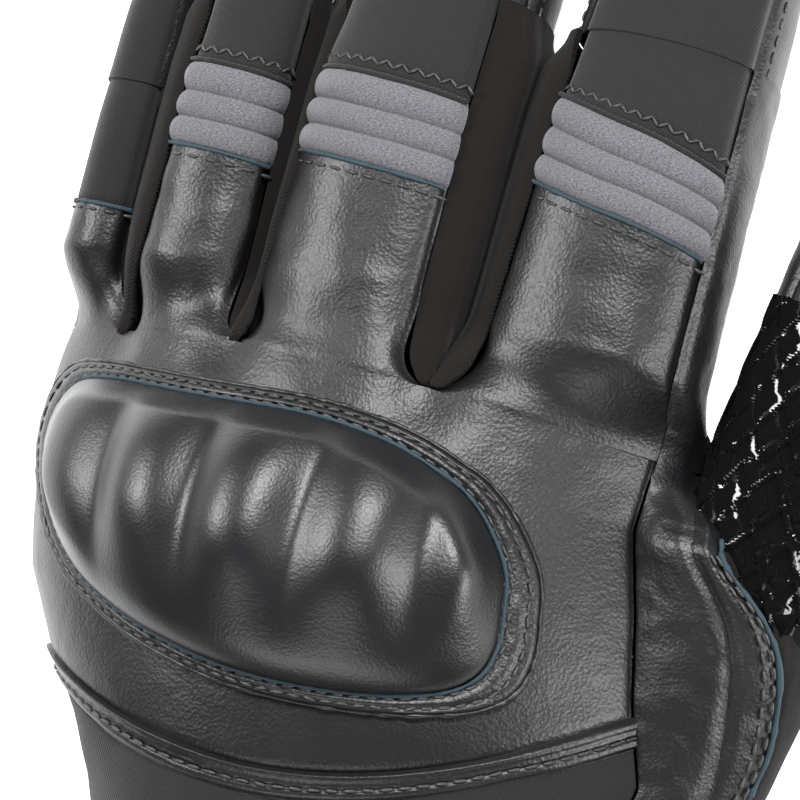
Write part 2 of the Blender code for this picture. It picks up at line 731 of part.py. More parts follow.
# ---- the cuff -----------------------------------------------------------------------------------


def cuff():
    tube = level_tube(CUFF_STATIONS)
    front, back = CUFF_STATIONS[0][0], CUFF_STATIONS[-1][0]
    wrist = hinge("wrist", Vector((CUFF_STATIONS[0][1], WRIST_Y, 28.0)), (1, 0, 0))
    rows = [back + BINDING_WIDTH + GAP, -84.0, -70.0, -52.0, front]
    for label, slot, span in (("back", "softshell", (0.0, 180.0)), ("palm", "leather", (180.0, 360.0))):
        angles = spread(span[0] + 0.5, span[1] - 0.5, 12)
        outer = sheet(tube, rows, angles, 0.0)
        panel(f"cuff_{label}_panel", slot, outer, sheet(tube, rows, angles, -WALL), wrist)
    angles = spread(0.0, 360.0, 24)[:-1]
    rows = [back, back + BINDING_WIDTH]
    outer = sheet(tube, rows, angles, BINDING_WALL / 2)
    ring("cuff_binding", "softshell", outer, sheet(tube, rows, angles, -WALL - BINDING_WALL / 2), wrist)
    inside = -WALL - GAP
    rows = [back + BINDING_WIDTH + GAP, -70.0, -58.0]
    outer = sheet(tube, rows, angles, inside)
    ring("cuff_lining", "lining", outer, sheet(tube, rows, angles, inside - LINING), wrist)
    pull_loop(tube, back, wrist)
    strap(tube, wrist)


def pull_loop(tube, back, parent):
    """A folded webbing loop on the palm side of the cuff's mouth, to pull the glove on."""
    angles = spread(LOOP_ANGLES[0], LOOP_ANGLES[1], 2)
    rows = [back - LOOP_REACH[0], back + LOOP_REACH[1]]
    under = BINDING_WALL / 2 + GAP
    outer = sheet(tube, rows, angles, under + PAD_WALL)
    panel("pull_loop", "twill", outer, sheet(tube, rows, angles, under), parent)


def strap(tube, wrist):
    """A retention strap sewn to the little-finger side, closed over the back of the wrist."""
    rows = spread(STRAP_Y[0], STRAP_Y[1], 2)
    loop = GAP
    hook = loop + PAD_WALL + GAP
    band = hook + PAD_WALL + GAP
    pad_rows = spread(STRAP_Y[0] + PAD_INSET, STRAP_Y[1] - PAD_INSET, 1)
    angles = spread(LOOP_PAD_ANGLES[0], LOOP_PAD_ANGLES[1], 4)
    outer = sheet(tube, pad_rows, angles, loop + PAD_WALL)
    panel("loop_pad", "hook_loop", outer, sheet(tube, pad_rows, angles, loop), wrist)

    sewn = spread(STRAP_ANGLES[1] + ANCHOR_DEGREES[0], STRAP_ANGLES[1] + ANCHOR_DEGREES[1], 2)
    outer = sheet(tube, rows, sewn, GAP + STRAP_WALL)
    panel("strap_anchor", "leather", outer, sheet(tube, rows, sewn, GAP), wrist)

    edge = tube.point(sum(STRAP_Y) / 2, STRAP_ANGLES[1] + 1.0, band + STRAP_WALL / 2)
    fold = hinge("strap", edge, (0, 1, 0), wrist)
    angles = spread(STRAP_ANGLES[0], STRAP_ANGLES[1], 12)
    outer = sheet(tube, rows, angles, band + STRAP_WALL)
    panel("wrist_strap", "leather", outer, sheet(tube, rows, angles, band), fold)
    angles = spread(HOOK_PAD_ANGLES[0], HOOK_PAD_ANGLES[1], 3)
    outer = sheet(tube, pad_rows, angles, hook + PAD_WALL)
    panel("hook_pad", "hook_loop", outer, sheet(tube, pad_rows, angles, hook), fold)
    angles = spread(TAB_ANGLES[0], TAB_ANGLES[1], 2)
    outer = sheet(tube, rows, angles, band + STRAP_WALL + TAB_PROUD)
    panel("strap_tab", "rubber", outer, sheet(tube, rows, angles, band - TAB_PROUD), fold)


def main():
    for old in list(bpy.data.objects):
        bpy.data.objects.remove(old)
    hand = level_tube(HAND_STATIONS)
    back_of_hand(hand)
    sides_of_hand(hand)
    palm(hand)
    flat_pad(hand, "heel_slider", "rubber", *SLIDER)
    flat_pad(hand, "palm_patch", "grip_print", *PATCH)
    lining_of_hand(hand)
    knuckle_guard(hand)
    for name, spec in FINGERS.items():
        finger(name, spec)
    thumb()
    cuff()


main()
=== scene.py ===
import math

import bpy
import numpy as np
from bpy.props import FloatProperty, FloatVectorProperty, PointerProperty
from mathutils import Matrix, Vector


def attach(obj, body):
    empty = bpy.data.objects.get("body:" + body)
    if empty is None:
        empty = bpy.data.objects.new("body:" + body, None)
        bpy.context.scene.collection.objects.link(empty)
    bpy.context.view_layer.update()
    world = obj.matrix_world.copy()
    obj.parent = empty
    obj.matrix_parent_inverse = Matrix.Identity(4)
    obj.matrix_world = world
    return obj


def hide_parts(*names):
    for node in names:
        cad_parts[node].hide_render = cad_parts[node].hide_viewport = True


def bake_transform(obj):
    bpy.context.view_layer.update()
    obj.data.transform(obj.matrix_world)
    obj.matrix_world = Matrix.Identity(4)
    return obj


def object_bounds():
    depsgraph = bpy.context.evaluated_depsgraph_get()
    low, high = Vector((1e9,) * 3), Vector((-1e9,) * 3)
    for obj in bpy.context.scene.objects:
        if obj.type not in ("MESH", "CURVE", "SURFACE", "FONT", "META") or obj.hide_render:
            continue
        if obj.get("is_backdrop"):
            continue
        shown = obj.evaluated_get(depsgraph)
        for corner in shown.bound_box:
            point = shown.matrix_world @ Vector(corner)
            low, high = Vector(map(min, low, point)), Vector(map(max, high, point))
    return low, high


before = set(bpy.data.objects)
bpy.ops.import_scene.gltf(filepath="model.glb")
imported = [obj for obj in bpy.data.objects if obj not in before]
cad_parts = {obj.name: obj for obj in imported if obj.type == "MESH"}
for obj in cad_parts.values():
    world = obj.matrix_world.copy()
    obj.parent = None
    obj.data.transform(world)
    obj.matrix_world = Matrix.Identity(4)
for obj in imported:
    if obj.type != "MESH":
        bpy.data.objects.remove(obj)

bl_info = {
    "name": "Riding glove",
    "version": (1, 0, 0),
    "blender": (4, 5, 0),
    "location": "3D View > Sidebar > Glove",
    "description": "Makes the leather, cloth and stitching of a riding glove round its packed parts",
    "category": "Add Mesh",
}

# The glove's pattern is drawn in its own units, of this many metres each. All places and sizes below are in
# pattern units, except where a comment says otherwise.
UNIT = 0.00092

# the hand: y, middle x and z, half width, half height, how much it arches across
HAND_ROWS = np.array(
    (
        (-50.0, 12.0, 28.0, 36.0, 19.5, 0.0),
        (-36.0, 11.5, 28.0, 36.5, 20.5, 0.0005),
        (-15.0, 11.0, 28.5, 39.5, 22.5, 0.001),
        (10.0, 8.0, 29.0, 45.5, 24.5, 0.002),
        (40.0, 2.5, 29.5, 52.0, 24.0, 0.003),
        (62.0, 0.0, 29.0, 55.0, 19.5, 0.004),
        (76.0, 0.5, 28.0, 55.0, 16.5, 0.0045),
        (92.0, 1.0, 26.6, 55.0, 13.8, 0.0050),
    )
)
ARCH_X = 12.0
# the hem over the wrist: its lowest y, x there, how fast it rises to both sides, and its width
HEM_Y, HEM_X, HEM_RISE, HEM_WIDTH = 11.6, 3.0, 0.0066, 4.5
# degrees round the hand of the seams beside its back and beside its palm
SEAM_THUMB, SEAM_LITTLE = 25.0, 168.0
PALM_THUMB, PALM_LITTLE = -50.0, 192.0
# y where the hand's form ends at the wrist
WRIST_END = -50.0

# name: hinge x, y, z, half width, half height, lengths, splay, curl, back seams (thumb side, little side)
FINGERS = {
    "index": (37.2, 79.4, 25.0, 18.4, 15.0, (41.0, 25.0, 24.0), -0.4, 0.85, (31.0, 146.0)),
    "middle": (0.2, 80.4, 27.5, 18.0, 14.6, (38.4, 30.0, 28.0), -1.3, 1.00, (52.0, 162.0)),
    "ring": (-29.4, 78.6, 23.0, 11.9, 12.8, (36.8, 27.0, 26.0), -2.2, 0.85, (38.0, 140.0)),
    "little": (-49.4, 74.5, 14.6, 7.6, 10.4, (25.0, 20.0, 20.0), -2.4, 0.40, (52.0, 172.0)),
}
ORDER = ("index", "middle", "ring", "little")
PITCHES = (4.0, 12.0, 20.0)
TAPERS = (1.0, 0.94, 0.87, 0.78)
# how far before its middle joint a finger's leather ends: at a grey panel, and at the little finger's knit
RIBBED, LITTLE_KNIT = 13.4, 9.5
# gaps between the fingers: x, y of the rounded lower tip, half width there
GAPS = {"index": (17.7, 75.6, 5.6), "middle": (-17.0, 75.4, 3.2), "ring": (-40.2, 71.8, 2.2)}
# how far each grey panel's two ends are moved along the finger
SKEW = {"index": 3.2, "middle": 0.9, "ring": 0.4, "little": 0.0}
# how far the mound at the thumb's root widens the hand: y, units
MOUND = np.array(
    ((-40.0, 0.0), (-22.0, 4.0), (5.0, 15.0), (24.0, 18.0), (34.0, 13.6), (49.0, 8.5), (62.0, 3.2),
     (80.0, 2.0))
)  # fmt: skip
# how far the hand's little-finger side draws in above the wrist: y, units
WAIST = np.array(((-36.0, 0.0), (-20.0, 7.0), (-6.0, 9.6), (2.0, 9.2), (11.0, 7.0), (20.0, 3.2), (31.0, 0.0)))
# the outer seam of the leather at the thumb's root, from the index finger down to the wrist
THUMB_SEAM = np.array(
    ((57.2, 79.0, 25.5), (60.6, 72.0, 28.5), (64.6, 67.3, 31.5), (66.8, 63.7, 33.6), (68.6, 60.4, 34.9),
     (76.8, 53.2, 33.4), (80.3, 46.3, 30.8), (81.2, 35.4, 28.0), (79.8, 27.1, 27.0), (77.0, 18.0, 26.0),
     (73.0, 9.0, 25.5), (67.0, 0.0, 25.0), (60.0, -8.0, 24.5), (53.0, -16.0, 24.5))
)  # fmt: skip
# the widest line of the thumb's root, and the seam under it, beside the same places
THUMB_WIDEST = np.array(
    ((60.0, 70.0, 20.0), (63.0, 66.0, 20.0), (68.0, 62.0, 20.0), (75.0, 60.0, 20.0), (82.0, 57.0, 19.0),
     (84.5, 50.0, 18.0), (83.6, 43.0, 17.5), (81.6, 34.0, 17.0), (79.6, 25.0, 16.5), (76.0, 16.0, 16.0),
     (71.0, 7.0, 16.0), (64.0, -3.0, 16.0), (57.0, -11.0, 16.0), (50.0, -19.0, 17.0))
)  # fmt: skip

# the outline of the guard, from its thumb side over the top
GUARD = (
    (35.8, 44.5), (35.2, 51.0), (32.2, 56.8), (28.2, 60.8), (23.2, 63.0), (16.5, 65.0), (8.0, 66.0),
    (0.0, 66.0), (-8.0, 65.4), (-17.0, 64.6), (-26.6, 64.0), (-35.2, 63.4), (-43.0, 61.6),
    (-47.4, 56.2), (-48.0, 49.0), (-43.6, 40.2), (-35.8, 33.4), (-24.6, 29.0), (-13.4, 26.9),
    (-3.0, 26.0), (7.6, 26.2), (16.8, 27.2), (24.4, 28.9), (30.4, 31.4), (34.0, 34.8), (35.6, 39.4),
)  # fmt: skip
GUARD_CENTRE = (-2.0, 46.0)
GUARD_WRAP = 57.2  # x at which the guard would reach the side of the hand
BUMP_HALF = 7.9
# the guard's bumps: x, y, height against bump_height
BUMPS = ((31.5, 54.0, 1.0), (15.7, 51.0, 1.15), (-1.9, 50.0, 1.2), (-18.0, 50.4, 1.1), (-34.6, 50.5, 0.9))

THUMB_HINGE = np.array((70.5, 52.0, 19.0))
THUMB_HALF, THUMB_LENGTHS, THUMB_TAPERS = (15.2, 15.0), (38.0, 34.0), (1.0, 0.90, 0.78)
THUMB_YAW, THUMB_ROLL = 5.0, 15.0
# the cuff, in the hand's columns
CUFF_ROWS = np.array(
    ((-39.0, 10.8, 28.2, 41.6, 25.4, 0.0), (-52.0, 12.0, 28.6, 42.4, 25.6, 0.0),
     (-70.0, 13.5, 29.4, 44.0, 26.4, 0.0), (-98.0, 15.5, 31.2, 49.0, 28.2, 0.0))
)  # fmt: skip
STRAP_Y = (-74.0, -50.0)
TAPE_Y = (-71.0, -53.0)


# ---- sizes and colours --------------------------------------------------------------------------


def colour(name, about, default):
    return FloatVectorProperty(name=name, description=about, default=default, subtype="COLOR", min=0, max=1)


def length(name, about, default):
    return FloatProperty(name=name, description=about, default=default, unit="LENGTH", subtype="DISTANCE")


class GloveColours(bpy.types.PropertyGroup):
    leather: colour("Leather", "Colour of the fine-grained leather", (0.0030, 0.0032, 0.0038))
    guard: colour("Guard", "Colour of the smooth leather over the guard", (0.0040, 0.0042, 0.0049))
    softshell: colour("Softshell", "Colour of the knit panels", (0.0042, 0.0040, 0.0038))
    stretch: colour("Stretch", "Colour of the grey ribbed panels", (0.088, 0.084, 0.095))
    twill: colour("Twill", "Colour of the walls between the fingers", (0.0050, 0.0042, 0.0035))
    edge: colour("Cut edge", "Colour of the dyed cut edges", (0.013, 0.028, 0.038))
    thread: colour("Thread", "Colour of the stitching", (0.0045, 0.0045, 0.0050))
    floor: colour("Floor", "Colour of the studio floor", (0.93, 0.93, 0.93))


class GloveSizes(bpy.types.PropertyGroup):
    leather_wall: length("Leather", "Thickness of the leather", 0.0014)
    stitch: length("Stitch", "Length of one stitch", 0.0021)
    thread: length("Thread", "Thickness of the thread", 0.00052)
    guard_height: length("Guard", "Height of the guard's dome", 0.0050)
    bump_height: length("Bumps", "Height of the guard's five bumps", 0.0041)
    puff: length("Ribs", "Height of the padded ribs", 0.0013)


# ---- shader maths -------------------------------------------------------------------------------


class Value:
    """A shader socket that Python's operators add Math nodes to."""

    def __init__(self, look, socket):
        self.look = look
        self.socket = socket

    def maths(self, operation, *others, turned=False):
        values = [self, *others]
        if turned:
            values.reverse()
        return self.look.node("ShaderNodeMath", {"operation": operation}, dict(enumerate(values)))[0]

    def __add__(self, other):
        return self.maths("ADD", other)

    __radd__ = __add__

    def __mul__(self, other):
        return self.maths("MULTIPLY", other)

    __rmul__ = __mul__

    def __sub__(self, other):
        return self.maths("SUBTRACT", other)

    def __rsub__(self, other):
        return self.maths("SUBTRACT", other, turned=True)

    def __truediv__(self, other):
        return self.maths("DIVIDE", other)

    def wave(self):
        return self.maths("SINE")

    def size(self):
        return self.maths("ABSOLUTE")

    def rest(self):
        return self.maths("FRACT")

    def step(self, low, high):
        """0 up to low, 1 from high, smooth between them."""
        settings = {"interpolation_type": "SMOOTHSTEP"}
        inputs = {"Value": self, "From Min": low, "From Max": high}
        return self.look.node("ShaderNodeMapRange", settings, inputs)[0]


class Look:
    """A material being made. All its nodes come from one method."""

    def __init__(self, name):
        self.material = bpy.data.materials.new(name)
        self.material.use_nodes = True
        self.tree = self.material.node_tree
        self.shader = self.tree.nodes["Principled BSDF"]

    def node(self, kind, settings=None, inputs=None):
        made = self.tree.nodes.new(kind)
        for key, value in (settings or {}).items():
            setattr(made, key, value)
        for key, value in (inputs or {}).items():
            self.put(made, key, value)
        return [Value(self, socket) for socket in made.outputs if socket.enabled]

    def put(self, made, key, value):
        if isinstance(value, Value):
            self.tree.links.new(value.socket, made.inputs[key])
        else:
            made.inputs[key].default_value = value

    def set(self, **values):
        """Sets the shader's inputs. A name's underscores stand for spaces."""
        for key, value in values.items():
            self.put(self.shader, key.replace("_", " "), value)

    def place(self, scale=(1, 1, 1), cloth=False):
        """Object coordinates, or the piece's own cloth map in millimetres, scaled."""
        found = self.node("ShaderNodeTexCoord")
        source = found[2] if cloth else found[3]
        return self.node("ShaderNodeVectorMath", {"operation": "MULTIPLY"}, {0: source, 1: scale})[0]

    def split(self, vector):
        return self.node("ShaderNodeSeparateXYZ", None, {0: vector})

    def noise(self, where, scale, detail=3.0, rough=0.5):
        settings = {"noise_dimensions": "3D"}
        inputs = {"Vector": where, "Scale": scale, "Detail": detail, "Roughness": rough}
        return self.node("ShaderNodeTexNoise", settings, inputs)[0]

    def cells(self, where, scale):
        settings = {"voronoi_dimensions": "3D", "feature": "F1"}
        return self.node("ShaderNodeTexVoronoi", settings, {"Vector": where, "Scale": scale})[0]

    def mix(self, factor, first, last):
        made = self.tree.nodes.new("ShaderNodeMix")
        made.data_type = "RGBA"
        for place, value in ((0, factor), (6, (*first, 1.0)), (7, (*last, 1.0))):
            self.put(made, place, value)
        return Value(self, made.outputs[2])

    def bump(self, height, strength, distance, under=None):
        inputs = {"Height": height, "Strength": strength, "Distance": distance}
        if under is not None:
            inputs["Normal"] = under
        return self.node("ShaderNodeBump", None, inputs)[0]

    def finished(self, level, sheen=0.0):
        """The material, with its specular level and its sheen set."""
        self.set(Specular_IOR_Level=level, Sheen_Weight=sheen)
        return self.material


def shade(colour, factor):
    return tuple(c * factor for c in colour)


def leather_look(name, base, rough, grain, grain_depth, crease_depth):
    look = Look(name)
    where = look.place()
    pebble = look.cells(where, 1.0 / grain)
    fine = look.noise(where, 1.0 / (grain * 0.45), 2.0)
    pores = look.noise(where, 2600.0, 1.0)
    folds = look.noise(where, 190.0, 4.0, 0.6)
    broad = look.noise(where, 45.0, 3.0)
    worn = broad.step(0.35, 0.75)
    colour_value = look.mix(worn * 0.6 + fine * 0.4, shade(base, 0.75), shade(base, 1.55))
    height = pebble * 0.65 + fine * 0.5 + pores * 0.12
    crease = look.bump(folds, crease_depth, 0.0006)
    normal = look.bump(height, grain_depth, 0.00018, crease)
    look.set(Base_Color=colour_value, Roughness=rough + fine * 0.10 + worn * 0.05 - 0.06, Normal=normal)
    return look.finished(0.42)


def knit_look(name, base, depth):
    """A tight matte knit with a fine slanted rib."""
    look = Look(name)
    where = look.place(cloth=True)
    x, y, _ = look.split(where)
    body = look.place()
    slant = ((x + y * 0.55) * (math.tau / 0.55)).wave() * 0.5 + 0.5
    course = ((y - x * 0.2) * (math.tau / 0.48)).wave() * 0.5 + 0.5
    fuzz = look.noise(body, 2400.0, 3.0, 0.6)
    cloud = look.noise(body, 60.0, 3.0)
    height = slant * 0.5 + course * 0.4 + fuzz * 0.6
    colour_value = look.mix(height * 0.5 + cloud * 0.4, shade(base, 0.55), shade(base, 1.9))
    look.set(Base_Color=colour_value, Roughness=0.93 - fuzz * 0.12, Normal=look.bump(height, depth, 0.0002))
    return look.finished(0.28, 0.12)


def heather_look(name, base):
    """Grey stretch cloth, flecked along its ribs."""
    look = Look(name)
    where = look.place(cloth=True)
    x, y, _ = look.split(where)
    fleck = look.noise(look.place((1.1, 3.2, 1.0), cloth=True), 1.9, 4.0, 0.72)
    small = look.noise(look.place((1.6, 4.0, 1.0), cloth=True), 4.5, 2.0, 0.6)
    weave = (x * (math.tau / 0.42)).wave() * (y * (math.tau / 0.42)).wave()
    tone = (fleck * 0.65 + small * 0.35).step(0.36, 0.66)
    colour_value = look.mix(tone, shade(base, 0.30), shade(base, 1.85))
    height = weave * 0.35 + small * 0.7 + 0.3
    look.set(Base_Color=colour_value, Roughness=0.86 + small * 0.1, Normal=look.bump(height, 0.42, 0.00022))
    return look.finished(0.25, 0.18)


def twill_look(name, base, rib=0.62, zigzag=3.4):
    """Herringbone: slanted ribs that turn round at every column."""
    look = Look(name)
    where = look.place(cloth=True)
    x, y, _ = look.split(where)
    column = ((x / zigzag).rest() * 2.0 - 1.0).size() * zigzag
    ribs = ((y + column * 0.9) * (math.tau / rib)).wave() * 0.5 + 0.5
    yarn = look.noise(look.place((3.0, 1.0, 1.0), cloth=True), 3.2, 3.0, 0.6)
    height = ribs * 0.8 + yarn * 0.35
    colour_value = look.mix(height * 0.8, shade(base, 0.32), shade(base, 1.75))
    look.set(Base_Color=colour_value, Roughness=0.82 + yarn * 0.1, Normal=look.bump(height, 0.5, 0.00028))
    return look.finished(0.14, 0.03)


def plain_look(name, base, rough, grain, depth, level=0.4):
    """A finish with a fine irregular grain, for foam, rubber, thread and edges."""
    look = Look(name)
    where = look.place()
    speck = look.noise(where, 1.0 / grain, 3.0, 0.6)
    cloud = look.noise(where, 80.0, 2.0)
    look.set(
        Base_Color=look.mix(speck * 0.6 + cloud * 0.4, shade(base, 0.55), shade(base, 1.6)),
        Roughness=rough + speck * 0.12 - 0.06,
        Normal=look.bump(speck, depth, grain),
    )
    return look.finished(level)


def thread_look(name, base, rough):
    """Twisted thread: slanted strands across each stitch."""
    look = Look(name)
    where = look.place(cloth=True)
    x, y, _ = look.split(where)
    strand = ((x * 6.0 + y * 2.0) * math.tau).wave() * 0.5 + 0.5
    speck = look.noise(look.place(), 900.0, 2.0)
    look.set(
        Base_Color=look.mix(strand * 0.6 + speck * 0.5, shade(base, 0.5), shade(base, 2.4)),
        Roughness=rough + speck * 0.3 - 0.12,
        Normal=look.bump(strand, 0.5, 0.0001),
    )
    return look.finished(0.7)


def suede_look(name, base, level):
    """Grip leather: dull between the printed lines, which stand up and shine."""
    look = Look(name)
    where = look.place(cloth=True)
    x, y, _ = look.split(where)
    line = grip_line(x, y)
    nap = look.noise(look.place(), 2000.0, 3.0, 0.7)
    colour_value = look.mix(nap * (1.0 - line * 0.8), shade(base, 0.4), shade(base, 2.0))
    normal = look.bump(nap * (1.0 - line), 0.5, 0.0002)
    look.set(Base_Color=colour_value, Roughness=0.92 - line * 0.6, Coat_Weight=line * 0.6, Normal=normal)
    return look.finished(level)


GRIP_PITCH = (5.4, 9.0)  # width and length of one diamond of the printed net, in millimetres
GRIP_LINE = 0.085  # half width of a line, as a share of the distance between two lines


def grip_line(x, y):
    """1 on the printed net's lines, as a shader value."""
    first = ((x / GRIP_PITCH[0] + y / GRIP_PITCH[1]).rest() - 0.5).size()
    last = ((x / GRIP_PITCH[0] - y / GRIP_PITCH[1]).rest() - 0.5).size()
    near = first.maths("MAXIMUM", last)
    return near.step(0.5 - GRIP_LINE, 0.5 - GRIP_LINE * 0.45)


def grip_rise(x, y):
    """How far the printed net stands up at places in millimetres, from 0 to 1."""
    first = np.abs(np.mod(x / GRIP_PITCH[0] + y / GRIP_PITCH[1], 1.0) - 0.5)
    last = np.abs(np.mod(x / GRIP_PITCH[0] - y / GRIP_PITCH[1], 1.0) - 0.5)
    near = np.maximum(first, last)
    return ease((near - 0.5 + GRIP_LINE) / (GRIP_LINE * 0.75))


LOOKS = {}


def make_looks():
    tone = bpy.context.scene.glove_colours
    LOOKS["leather"] = leather_look("leather", tone.leather, 0.41, 0.00055, 0.42, 0.16)
    LOOKS["guard_leather"] = leather_look("guard_leather", tone.guard, 0.37, 0.00048, 0.24, 0.04)
    LOOKS["softshell"] = knit_look("softshell", tone.softshell, 0.4)
    LOOKS["stretch_grey"] = heather_look("stretch_grey", tone.stretch)
    LOOKS["twill"] = twill_look("twill", tone.twill)
    LOOKS["thumb_twill"] = twill_look("thumb_twill", shade(tone.twill, 0.9), 0.5, 2.6)
    LOOKS["grip_print"] = suede_look("grip_print", (0.0012, 0.0012, 0.0014), 0.06)
    LOOKS["lining"] = knit_look("lining", (0.030, 0.030, 0.034), 0.5)
    LOOKS["foam"] = plain_look("foam", (0.10, 0.10, 0.105), 0.9, 0.0009, 0.5)
    LOOKS["hook_loop"] = plain_look("hook_loop", (0.010, 0.010, 0.010), 0.95, 0.0006, 0.9)
    LOOKS["rubber"] = plain_look("rubber", (0.012, 0.012, 0.0125), 0.55, 0.0005, 0.2, 0.5)
    LOOKS["edge"] = plain_look("edge", tone.edge, 0.75, 0.0004, 0.5)
    LOOKS["thread"] = thread_look("thread", tone.thread, 0.42)


# ---- forms --------------------------------------------------------------------------------------


def ease(t):
    t = np.clip(t, 0.0, 1.0)
    return t * t * (3.0 - 2.0 * t)


def smooth_rows(rows, along):
    """Rows of numbers at rising places in their first column, read smoothly between them."""
    rows = rows[np.argsort(rows[:, 0])]
    keys, values = rows[:, 0], rows[:, 1:]
    slopes = np.gradient(values, keys, axis=0)
    along = np.asarray(along, float)
    i = np.clip(np.searchsorted(keys, along) - 1, 0, len(keys) - 2)
    span = (keys[i + 1] - keys[i])[..., None]
    t = ((along - keys[i])[..., None]) / span
    inside = np.clip(t, 0.0, 1.0)
    a, b, da, db = values[i], values[i + 1], slopes[i] * span, slopes[i + 1] * span
    t2, t3 = inside**2, inside**3
    curve = a * (2 * t3 - 3 * t2 + 1) + da * (t3 - 2 * t2 + inside) + b * (3 * t2 - 2 * t3) + db * (t3 - t2)
    return curve + np.where(t > 1, (t - 1) * db, 0) + np.where(t < 0, t * da, 0)


class LevelForm:
    """The hand or the cuff: ovals along Y."""

    def __init__(self, rows, mound=None):
        self.rows = rows
        self.mound = mound

    def point(self, y, degrees, lift=0.0):
        y, degrees, lift = np.broadcast_arrays(np.asarray(y, float), degrees, lift)
        cx, cz, half_w, half_h, arch = np.moveaxis(smooth_rows(self.rows, y), -1, 0)
        turn = np.radians(degrees)
        x = cx + (half_w + lift) * np.cos(turn)
        if self.mound is not None:
            x = x + np.interp(y, *self.mound) * np.clip(np.cos(turn), 0.0, 1.0) ** 2.2
            x = x + np.interp(y, *WAIST.T) * np.clip(-np.cos(turn), 0.0, 1.0) ** 1.4
        z = cz + (half_h + lift) * np.sin(turn) - arch * (x - ARCH_X) ** 2
        return np.stack((x, y, z), -1)

    def angle(self, x, y):
        """The angle round the back at a place seen from above."""
        x, y = np.broadcast_arrays(np.asarray(x, float), y)
        cx, _, half_w, _, _ = np.moveaxis(smooth_rows(self.rows, y), -1, 0)
        return np.degrees(np.arccos(np.clip((x - cx) / half_w, -0.998, 0.998)))

    def back(self, x, y, lift=0.0):
        return self.point(y, self.angle(x, y), lift)

    def under(self, x, y, lift=0.0):
        return self.point(y, -self.angle(x, y), lift)


HAND = LevelForm(HAND_ROWS, MOUND.T)
CUFF = LevelForm(CUFF_ROWS)


class FingerForm:
    """A finger's tube, which bends softly at its hinges and closes in a round end."""

    STEP = 0.5
    BEFORE = 24.0

    def __init__(self, hinge, half, lengths, tapers, across, pitches, yaw, box=0.86, root=1.0):
        self.half, self.total = half, sum(lengths)
        self.box, self.root = box, root
        self.hinges = np.concatenate(([0.0], np.cumsum(lengths)))
        self.tapers = tapers
        self.across = across
        self.round = half[0] * tapers[-1]
        s = np.arange(-self.BEFORE, self.total + self.STEP, self.STEP)
        pitch = np.full(s.shape, float(pitches[0]))
        for i in range(1, len(pitches)):
            pitch += (pitches[i] - pitches[i - 1]) * ease((s - self.hinges[i] + 5.0) / 10.0)
        pitch, yaw = np.radians(pitch), math.radians(yaw)
        way = np.stack((math.sin(yaw) * np.cos(pitch), math.cos(yaw) * np.cos(pitch), -np.sin(pitch)), -1)
        path = np.cumsum(way * self.STEP, axis=0)
        path += np.asarray(hinge, float) - path[int(self.BEFORE / self.STEP)]
        self.s, self.path, self.way = s, path, way

    def frame(self, s):
        s = np.asarray(s, float)
        place = np.stack([np.interp(s, self.s, self.path[:, k]) for k in range(3)], -1)
        way = np.stack([np.interp(s, self.s, self.way[:, k]) for k in range(3)], -1)
        return place, way, np.cross(np.broadcast_to(self.across, way.shape), way)

    def point(self, s, degrees, lift=0.0):
        s, degrees, lift = np.broadcast_arrays(np.asarray(s, float), degrees, lift)
        place, _, up = self.frame(s)
        size = np.interp(s, self.hinges, self.tapers)
        past = np.clip((s - (self.total - self.round)) / self.round, 0.0, 0.9999)
        shrink = np.sqrt(1.0 - past**2)
        shrink = shrink * (self.root + (1.0 - self.root) * ease((s + 9.0) / 13.0))
        turn = np.radians(degrees)
        cosine, sine = np.cos(turn), np.sin(turn)
        side = (self.half[0] * size + lift) * np.sign(cosine) * np.abs(cosine) ** self.box * shrink
        rise = (self.half[1] * size + lift) * np.sign(sine) * np.abs(sine) ** self.box * shrink
        return place + side[..., None] * self.across + rise[..., None] * up

    def at_y(self, y):
        return np.interp(y, self.path[:, 1], self.s)


def finger_form(name):
    x, y, z, half_w, half_h, lengths, splay, curl, _ = FINGERS[name]
    yaw = math.radians(splay)
    across = np.array((math.cos(yaw), -math.sin(yaw), 0.0))
    pitches = [pitch * curl for pitch in PITCHES]
    return FingerForm((x, y, z), (half_w, half_h), lengths, TAPERS, across, pitches, splay)


def thumb_form():
    yaw, roll = math.radians(THUMB_YAW), math.radians(THUMB_ROLL)
    level = np.array((math.cos(yaw), -math.sin(yaw), 0.0))
    across = level * math.cos(roll) - np.array((0.0, 0.0, 1.0)) * math.sin(roll)
    return FingerForm(
        THUMB_HINGE, THUMB_HALF, THUMB_LENGTHS, THUMB_TAPERS, across, (0.0, 0.0), THUMB_YAW, box=1.0, root=0.72
    )


FORMS = {name: finger_form(name) for name in FINGERS}
THUMB = thumb_form()

LATTICE = np.random.default_rng(11).random((48, 48, 48))


def drift(places, size, seed=0.0):
    """Smooth irregular numbers from -1 to 1 over places in pattern units, with lumps of that size."""
    q = places / size + np.array((seed, seed * 1.7, seed * 2.3)) + 512.0
    base = np.floor(q).astype(int)
    f = q - base
    f = f * f * (3 - 2 * f)
    total = np.zeros(q.shape[:-1])
    for corner in range(8):
        bits = np.array((corner & 1, corner >> 1 & 1, corner >> 2 & 1))
        weight = np.prod(np.where(bits, f, 1 - f), axis=-1)
        i = (base + bits) % 48
        total += weight * LATTICE[i[..., 0], i[..., 1], i[..., 2]]
    return total * 2 - 1


# ---- making meshes ------------------------------------------------------------------------------


def nothing_selected():
    if bpy.context.object and bpy.context.object.mode != "OBJECT":
        bpy.ops.object.mode_set(mode="OBJECT")
    bpy.ops.object.select_all(action="DESELECT")


def only(piece):
    nothing_selected()
    piece.select_set(True)
    bpy.context.view_layer.objects.active = piece


